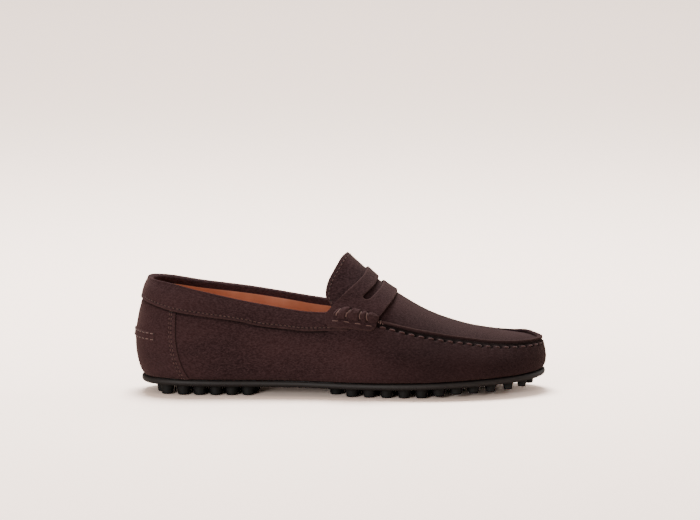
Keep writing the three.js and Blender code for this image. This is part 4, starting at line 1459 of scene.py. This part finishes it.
class MOCCASIN_OT_stage(Operator):
    """Pale floor and soft studio light"""

    bl_idname = "moccasin.stage"
    bl_label = "Floor and light"

    def execute(self, context):
        made = bpy.data.meshes.new("floor")
        made.from_pydata([(-30, -30, 0), (30, -30, 0), (30, 30, 0), (-30, 30, 0)], [], [(0, 1, 2, 3)])
        floor = bpy.data.objects.new("floor", made)
        context.scene.collection.objects.link(floor)
        # Matt painted studio floor. It shows as bright as an overexposed white floor, and lights the shoe
        # as a plain one.
        paint = blank_material("matt_studio_floor")
        tree = paint.node_tree
        tone = rgba(colours().floor)
        shown = node(
            tree, "ShaderNodeBsdfDiffuse", values={"Color": tuple(c * FLOOR_GAIN for c in tone[:3]) + (1,)},
        )
        plain = node(
            tree, "ShaderNodeBsdfDiffuse",
            values={"Color": tuple(c * FLOOR_LIGHT for c in tone[:3]) + (1,)},
        )
        path = node(tree, "ShaderNodeLightPath")
        both = node(
            tree, "ShaderNodeMixShader",
            links={0: path.outputs["Is Camera Ray"], 1: plain.outputs[0], 2: shown.outputs[0]},
        )
        end_material(tree, both)
        made.materials.append(paint)
        world = bpy.data.worlds.new("studio")
        context.scene.world = world
        world.use_nodes = True
        background = world.node_tree.nodes["Background"]
        background.inputs["Color"].default_value = tone
        background.inputs["Strength"].default_value = 0.34
        self.lamp("overhead", (-0.1, 0.55, 1.6), (0, 0, 0.05), 0.8, 34)
        self.lamp("front_left", (-0.95, -1.9, 0.42), (-0.05, 0, 0.05), 0.7, 19)
        self.lamp("backdrop", (0, 3.0, 1.8), (0, 3.0, 0), 2.6, 26)
        self.lamp("behind_toe", (1.6, 0.9, 0.6), (0.1, 0, 0.05), 0.6, 5)
        return {"FINISHED"}

    @staticmethod
    def lamp(name, place, target, size, power):
        light = bpy.data.lights.new(name, "AREA")
        light.shape = "DISK"
        light.size = size
        light.energy = power
        lamp = bpy.data.objects.new(name, light)
        bpy.context.scene.collection.objects.link(lamp)
        lamp.location = place
        lamp.rotation_mode = "QUATERNION"
        lamp.rotation_quaternion = (Vector(target) - Vector(place)).to_track_quat("-Z", "Y")


class MOCCASIN_OT_sole(Operator):
    """Moulded sole plate with its rounded rim"""

    bl_idname = "moccasin.sole"
    bl_label = "Sole plate"

    def execute(self, context):
        plate = loop_solid("sole_plate", outsole_sections())
        finish_piece(
            plate, "sole_rubber", moulded_rubber("grey_moulded_rubber", colours().rim, 0.55), "outsole",
        )
        return {"FINISHED"}


class MOCCASIN_OT_studs(Operator):
    """Round rubber studs of the heel and forefoot"""

    bl_idname = "moccasin.studs"
    bl_label = "Studs"

    def execute(self, context):
        rubber = moulded_rubber("black_moulded_rubber", colours().studs, 0.6)
        shape = stud_shape(sizes().stud_radius)
        groups = (
            ("heel_studs", stud_centres(22.5, 6, 11.2, heel_bow), "heel_stud_pad"),
            (
                "forefoot_studs", INSTEP_STUDS + stud_centres(150.5, 11, 12, forefoot_bow),
                "forefoot_stud_pad",
            ),
        )
        for name, centres, replaced in groups:
            made = through_tree(
                name, stud_points(name, centres), stud_tree(), {"Stud": shape, "Material": rubber},
            )
            finish_piece(made, "stud_rubber", rubber, replaced)
        bpy.data.objects.remove(shape)
        return {"FINISHED"}


class MOCCASIN_OT_vamp(Operator):
    """Suede vamp from the heel piece round the toe"""

    bl_idname = "moccasin.vamp"
    bl_label = "Vamp"

    def execute(self, context):
        pitch = sizes().seam_pitch / MM
        column = np.concatenate([
            samples(HEEL_SEAM - 0.3, HEEL_SEAM + 0.1, 16), samples(HEEL_SEAM + 0.12, 6.4, 90),
            samples(6.42, COLUMNS - 6.42, 400), samples(COLUMNS - 6.4, COLUMNS - HEEL_SEAM - 0.12, 90),
            samples(COLUMNS - HEEL_SEAM - 0.1, COLUMNS - HEEL_SEAM + 0.3, 16),
        ])
        share = np.unique(np.concatenate([samples(0, 0.86, 40, 0.04), samples(0.86, 1, 26)]))
        c, v = np.meshgrid(column, share, indexing="ij")
        v = v * (1 - 1.2 * seam_shown(c) / wall_height(c))
        # The vamp gets painted shade in its seam groove, stitch pits, under the collar and ahead of the heel
        # piece.
        vamp = closed_sheet(
            "vamp_suede", vamp_points(c, v, pitch), LEATHER, crease=vamp_painted_shade(c, v, pitch),
        )
        finish_piece(vamp, "suede", suede(), "vamp")
        return {"FINISHED"}


class MOCCASIN_OT_heel(Operator):
    """Suede heel piece and the raised band across it"""

    bl_idname = "moccasin.heel"
    bl_label = "Heel piece and band"

    def execute(self, context):
        column, v = np.meshgrid(
            samples(-HEEL_SEAM, HEEL_SEAM, 150, 0.06, 0.06), samples(0, 1, 70, 0.04, 0.02), indexing="ij",
        )
        # Painted shadow of the collar's edge on the heel piece.
        shade = collar_shade(column, (1 - v) * wall_height(column))
        piece = closed_sheet("heel_piece_suede", heel_piece_points(column, v), 1.2, crease=shade)
        finish_piece(piece, "suede", suede(), "heel_piece")
        column, share = np.meshgrid(
            samples(-BAND_REACH, BAND_REACH, 120, 0.04, 0.04), samples(0, 1, 16, 0.1, 0.1), indexing="ij",
        )
        bed = heel_piece_points(column, band_v(column, share))
        n = grid_normals(bed)
        distance = edge_distance(bed, ALL_SIDES)
        crown = 0.45 + 0.3 * np.clip(distance / 2, 0, 1)
        band = closed_sheet("heel_band_suede", bed + n * crown[..., None], 1.2)
        finish_piece(band, "suede", suede(), "heel_band")
        return {"FINISHED"}


class MOCCASIN_OT_collar(Operator):
    """Folded suede collar round the opening"""

    bl_idname = "moccasin.collar"
    bl_label = "Collar"

    def execute(self, context):
        end = COLLAR_FRONT + 0.5
        column = samples(-end, end, 300, 0.03, 0.03)
        place = np.unique(
            np.concatenate([samples(0, 1, 26, 0.06), samples(1, 2, 14), samples(2, 3, 10, 0, 0.12)])
        )
        column, place = np.meshgrid(column, place, indexing="ij")
        collar = closed_sheet("collar_suede", collar_point(column, place), COLLAR_THICK)
        finish_piece(collar, "suede", suede(), "collar")
        return {"FINISHED"}


class MOCCASIN_OT_apron(Operator):
    """Apron with its tongue, and the raised seam round it"""

    bl_idname = "moccasin.apron"
    bl_label = "Apron and seam"

    def execute(self, context):
        place = np.unique(
            np.concatenate([samples(-1, 0, 34, 0.07), samples(0, 0.985, 150), samples(0.985, 1, 10)])
        )
        place, t = np.meshgrid(place, samples(-1, 1, 96, 0.03, 0.03), indexing="ij")
        points = apron_points(place, t)
        distance = edge_distance(points, ("first_row", "first_column", "last_column"))
        apron = closed_sheet("apron_suede", points, LEATHER, distance=distance)
        finish_piece(apron, "suede", suede(), "apron")
        pitch = sizes().seam_pitch / MM
        column = TOE - (TOE - BEAD_FROM) * np.cos(np.linspace(0, math.pi, 680))
        seam = loop_solid("apron_seam_suede", *seam_sections(column, pitch))
        finish_piece(seam, "suede", suede())
        return {"FINISHED"}


class MOCCASIN_OT_strap(Operator):
    """Saddle strap with its slot, and the gathered rolls at its ends"""

    bl_idname = "moccasin.strap"
    bl_label = "Strap and rolls"

    def execute(self, context):
        strap = joined_sheets("saddle_strap_suede", strap_halves())
        finish_piece(strap, "suede", suede(), "saddle_strap")
        for side, name in SIDES:
            roll = joined_sheets("beef_roll_" + name + "_suede", [roll_parts(side)])
            finish_piece(roll, "suede", suede(), "beef_roll_" + name)
        return {"FINISHED"}


class MOCCASIN_OT_lining(Operator):
    """Leather sock and linings, and finishes of the hidden layers"""

    bl_idname = "moccasin.lining"
    bl_label = "Sock and linings"

    def execute(self, context):
        leather = lining_leather("tan_calf_lining", colours().lining)
        sock_leather = lining_leather("tan_calf_sock", colours().sock)
        bed = footbed_grid(3.3, sock_height)
        distance = edge_distance(bed, ("first_column", "last_column"))
        sock = closed_sheet("sock_leather", bed, 1.2, distance=distance)
        finish_piece(sock, "lining_leather", sock_leather, "sock")
        quarter = lining_grid(
            samples(-6.3, 6.3, 220), lambda c: np.full_like(c, COLLAR_TURN - 1.5),
            lambda c: 2.05 + 0.9 * (1 - smoothstep(HEEL_SEAM - 0.5, HEEL_SEAM + 1.0, np.abs(c))),
        )
        made = closed_sheet("quarter_lining_leather", quarter, LINING)
        finish_piece(made, "lining_leather", leather, "quarter_lining")
        front = lining_grid(samples(6.2, COLUMNS - 6.2, 220), lambda c: np.full_like(c, LIP_HEIGHT + 2.6),
                            lambda c: np.full_like(c, 1.9))
        made = closed_sheet("vamp_lining_leather", front, LINING)
        finish_piece(made, "lining_leather", leather, "vamp_lining")
        for name in ("insole_board", "heel_cushion", "heel_counter"):
            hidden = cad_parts[name]
            hidden.data.materials.clear()
            hidden.data.materials.append(fibre_board())
        return {"FINISHED"}


class MOCCASIN_OT_machine_stitches(Operator):
    """Machine sewn rows of collar, heel piece, heel band and tongue"""

    bl_idname = "moccasin.machine_stitches"
    bl_label = "Machine stitching"

    def execute(self, context):
        s = sizes()
        thread = machine_thread()
        band_thread = thread_material("heel_band_thread", linear("#a3817a"), 0.8)
        column = np.linspace(-COLLAR_FRONT - 0.1, COLLAR_FRONT + 0.1, 420)
        place = 2.1 / collar_drop(column)
        run = surface_run(collar_point, column, place, 0.12)
        stitch_row(
            "collar_stitches", [run], s.collar_pitch, MACHINE_STITCH, s.thread, thread, ("collar_thread",),
            seed=3,
        )
        needle_holes("collar_holes", [run], s.collar_pitch)
        for side, name in SIDES:
            for back, row in ((2.7, "front"), (4.3, "rear")):
                v = np.linspace(0.02, 0.75, 90)
                c = np.full_like(v, HEEL_SEAM - back / HEEL_COLUMN) * -side
                low = heel_piece_points(c, v)
                n = wall_normal(c, v)
                stitch_row(
                    "heel_piece_stitches_" + name + "_" + row, [(low + n * 0.12, n)], s.heel_pitch,
                    MACHINE_STITCH, s.thread, thread, ("heel_piece_thread_" + name + "_" + row,), seed=5,
                )
                needle_holes("heel_piece_holes_" + name + "_" + row, [(low, n)], s.heel_pitch)
        for row, share in (("upper", 0.82), ("lower", 0.18)):
            c = np.linspace(0.08 - BAND_REACH, BAND_REACH - 0.08, 160)
            v = band_v(c, share)
            n = wall_normal(c, v)
            run = (heel_piece_points(c, v) + n * 0.9, n)
            stitch_row("heel_band_stitches_" + row, [run], BAND_PITCH, 0.0029, s.thread, band_thread,
                       ("heel_band_thread_" + row,), seed=7)
            needle_holes("heel_band_holes_" + row, [(run[0] - n * 0.1, n)], BAND_PITCH)
        t = np.linspace(-0.93, 0.93, 240)
        place = np.full_like(t, -0.86)
        points = apron_points(place, t)
        n = np.cross(apron_points(place + 0.01, t) - points, apron_points(place, t + 0.01) - points)
        n /= np.linalg.norm(n, axis=1, keepdims=True)
        n *= np.sign(n[:, 2:3])
        stitch_row(
            "tongue_stitches", [(points + n * 0.15, n)], s.tongue_pitch, MACHINE_STITCH, s.thread, thread,
            seed=9,
        )
        needle_holes("tongue_holes", [(points, n)], s.tongue_pitch)
        return {"FINISHED"}


class MOCCASIN_OT_hand_stitches(Operator):
    """Hand sewn apron seam, and the thread wrapped round the rolls"""

    bl_idname = "moccasin.hand_stitches"
    bl_label = "Hand stitching"

    def execute(self, context):
        s = sizes()
        waxed = hand_thread()
        column = np.linspace(SEAM_FROM, COLUMNS - SEAM_FROM, 1100)
        v = below(column, SEAM_DROP)
        n = wall_normal(column, v)
        on_stitch = wall(column, v, np.full_like(v, 0.15))
        stitch_row(
            "apron_seam_stitches", [(on_stitch + n * 0.25, n)], s.seam_pitch, 0.0036, s.hand_thread, waxed,
            ("apron_thread",), dive=0.0009, seed=11,
        )
        light = thread_material("roll_thread", linear("#8c6a63"), 0.75)
        for side, name in SIDES:
            runs = []
            angle = np.linspace(-1.7, 1.45, 44)
            for at, slant in ROLL_WRAPS:
                w = at - slant * angle / ROLL_TURN
                runs.append((roll_point(side, w, angle, 0.4), np.tile((0.0, side, 0.0), (44, 1))))
            turn = np.linspace(0, 2 * math.pi * 1.9, 60)
            centre = wall(np.array(6.53 if side < 0 else COLUMNS - 6.53), np.array(1.0), np.array(1.5))
            knot = centre + np.stack(
                [0.25 * turn, 2.3 * side * np.cos(turn), 1.2 * np.sin(turn) - 1.1], axis=1,
            )
            runs.append((knot, np.tile((0.0, side, 0.0), (60, 1))))
            wraps = through_tree("roll_wraps_" + name, path_mesh("roll_wraps_" + name, runs), thread_tree(),
                                 {"Thickness": s.thread * 1.7, "Material": light})
            finish_piece(wraps, "thread", light)
            w = np.linspace(0.2, 0.86, 80)
            low = strap_point(w, side * (1.125 - 0.03 * (1 - w)), 0.3)
            stitch_row(
                "tab_stitches_" + name, [(low, np.tile((0.0, side * 0.9, 0.3), (80, 1)))], 0.0078, 0.004,
                s.thread * 1.5, light, dive=0.0008, seed=13,
            )
        return {"FINISHED"}


ORDER = (
    MOCCASIN_OT_camera, MOCCASIN_OT_stage, MOCCASIN_OT_sole, MOCCASIN_OT_studs, MOCCASIN_OT_vamp,
    MOCCASIN_OT_heel, MOCCASIN_OT_collar, MOCCASIN_OT_apron, MOCCASIN_OT_strap, MOCCASIN_OT_lining,
    MOCCASIN_OT_machine_stitches, MOCCASIN_OT_hand_stitches,
)


class MOCCASIN_PT_panel(Panel):
    """Lists the moccasin's sizes, colours and pieces"""

    bl_idname = "MOCCASIN_PT_panel"
    bl_label = "Moccasin"
    bl_space_type = "VIEW_3D"
    bl_region_type = "UI"
    bl_category = "Moccasin"

    def draw(self, context):
        for settings in (context.scene.moccasin_sizes, context.scene.moccasin_colours):
            box = self.layout.box()
            for name in settings.__annotations__:
                box.prop(settings, name)
        for operator in ORDER:
            self.layout.operator(operator.bl_idname)


CLASSES = (MoccasinSizes, MoccasinColours, *ORDER, MOCCASIN_PT_panel)


def register():
    for made in CLASSES:
        bpy.utils.register_class(made)
    bpy.types.Scene.moccasin_sizes = PointerProperty(type=MoccasinSizes)
    bpy.types.Scene.moccasin_colours = PointerProperty(type=MoccasinColours)


def unregister():
    del bpy.types.Scene.moccasin_sizes
    del bpy.types.Scene.moccasin_colours
    for made in reversed(CLASSES):
        bpy.utils.unregister_class(made)


def main():
    register()
    for operator in ORDER:
        group, name = operator.bl_idname.split(".")
        getattr(getattr(bpy.ops, group), name)()


if __name__ == "__main__":
    main()
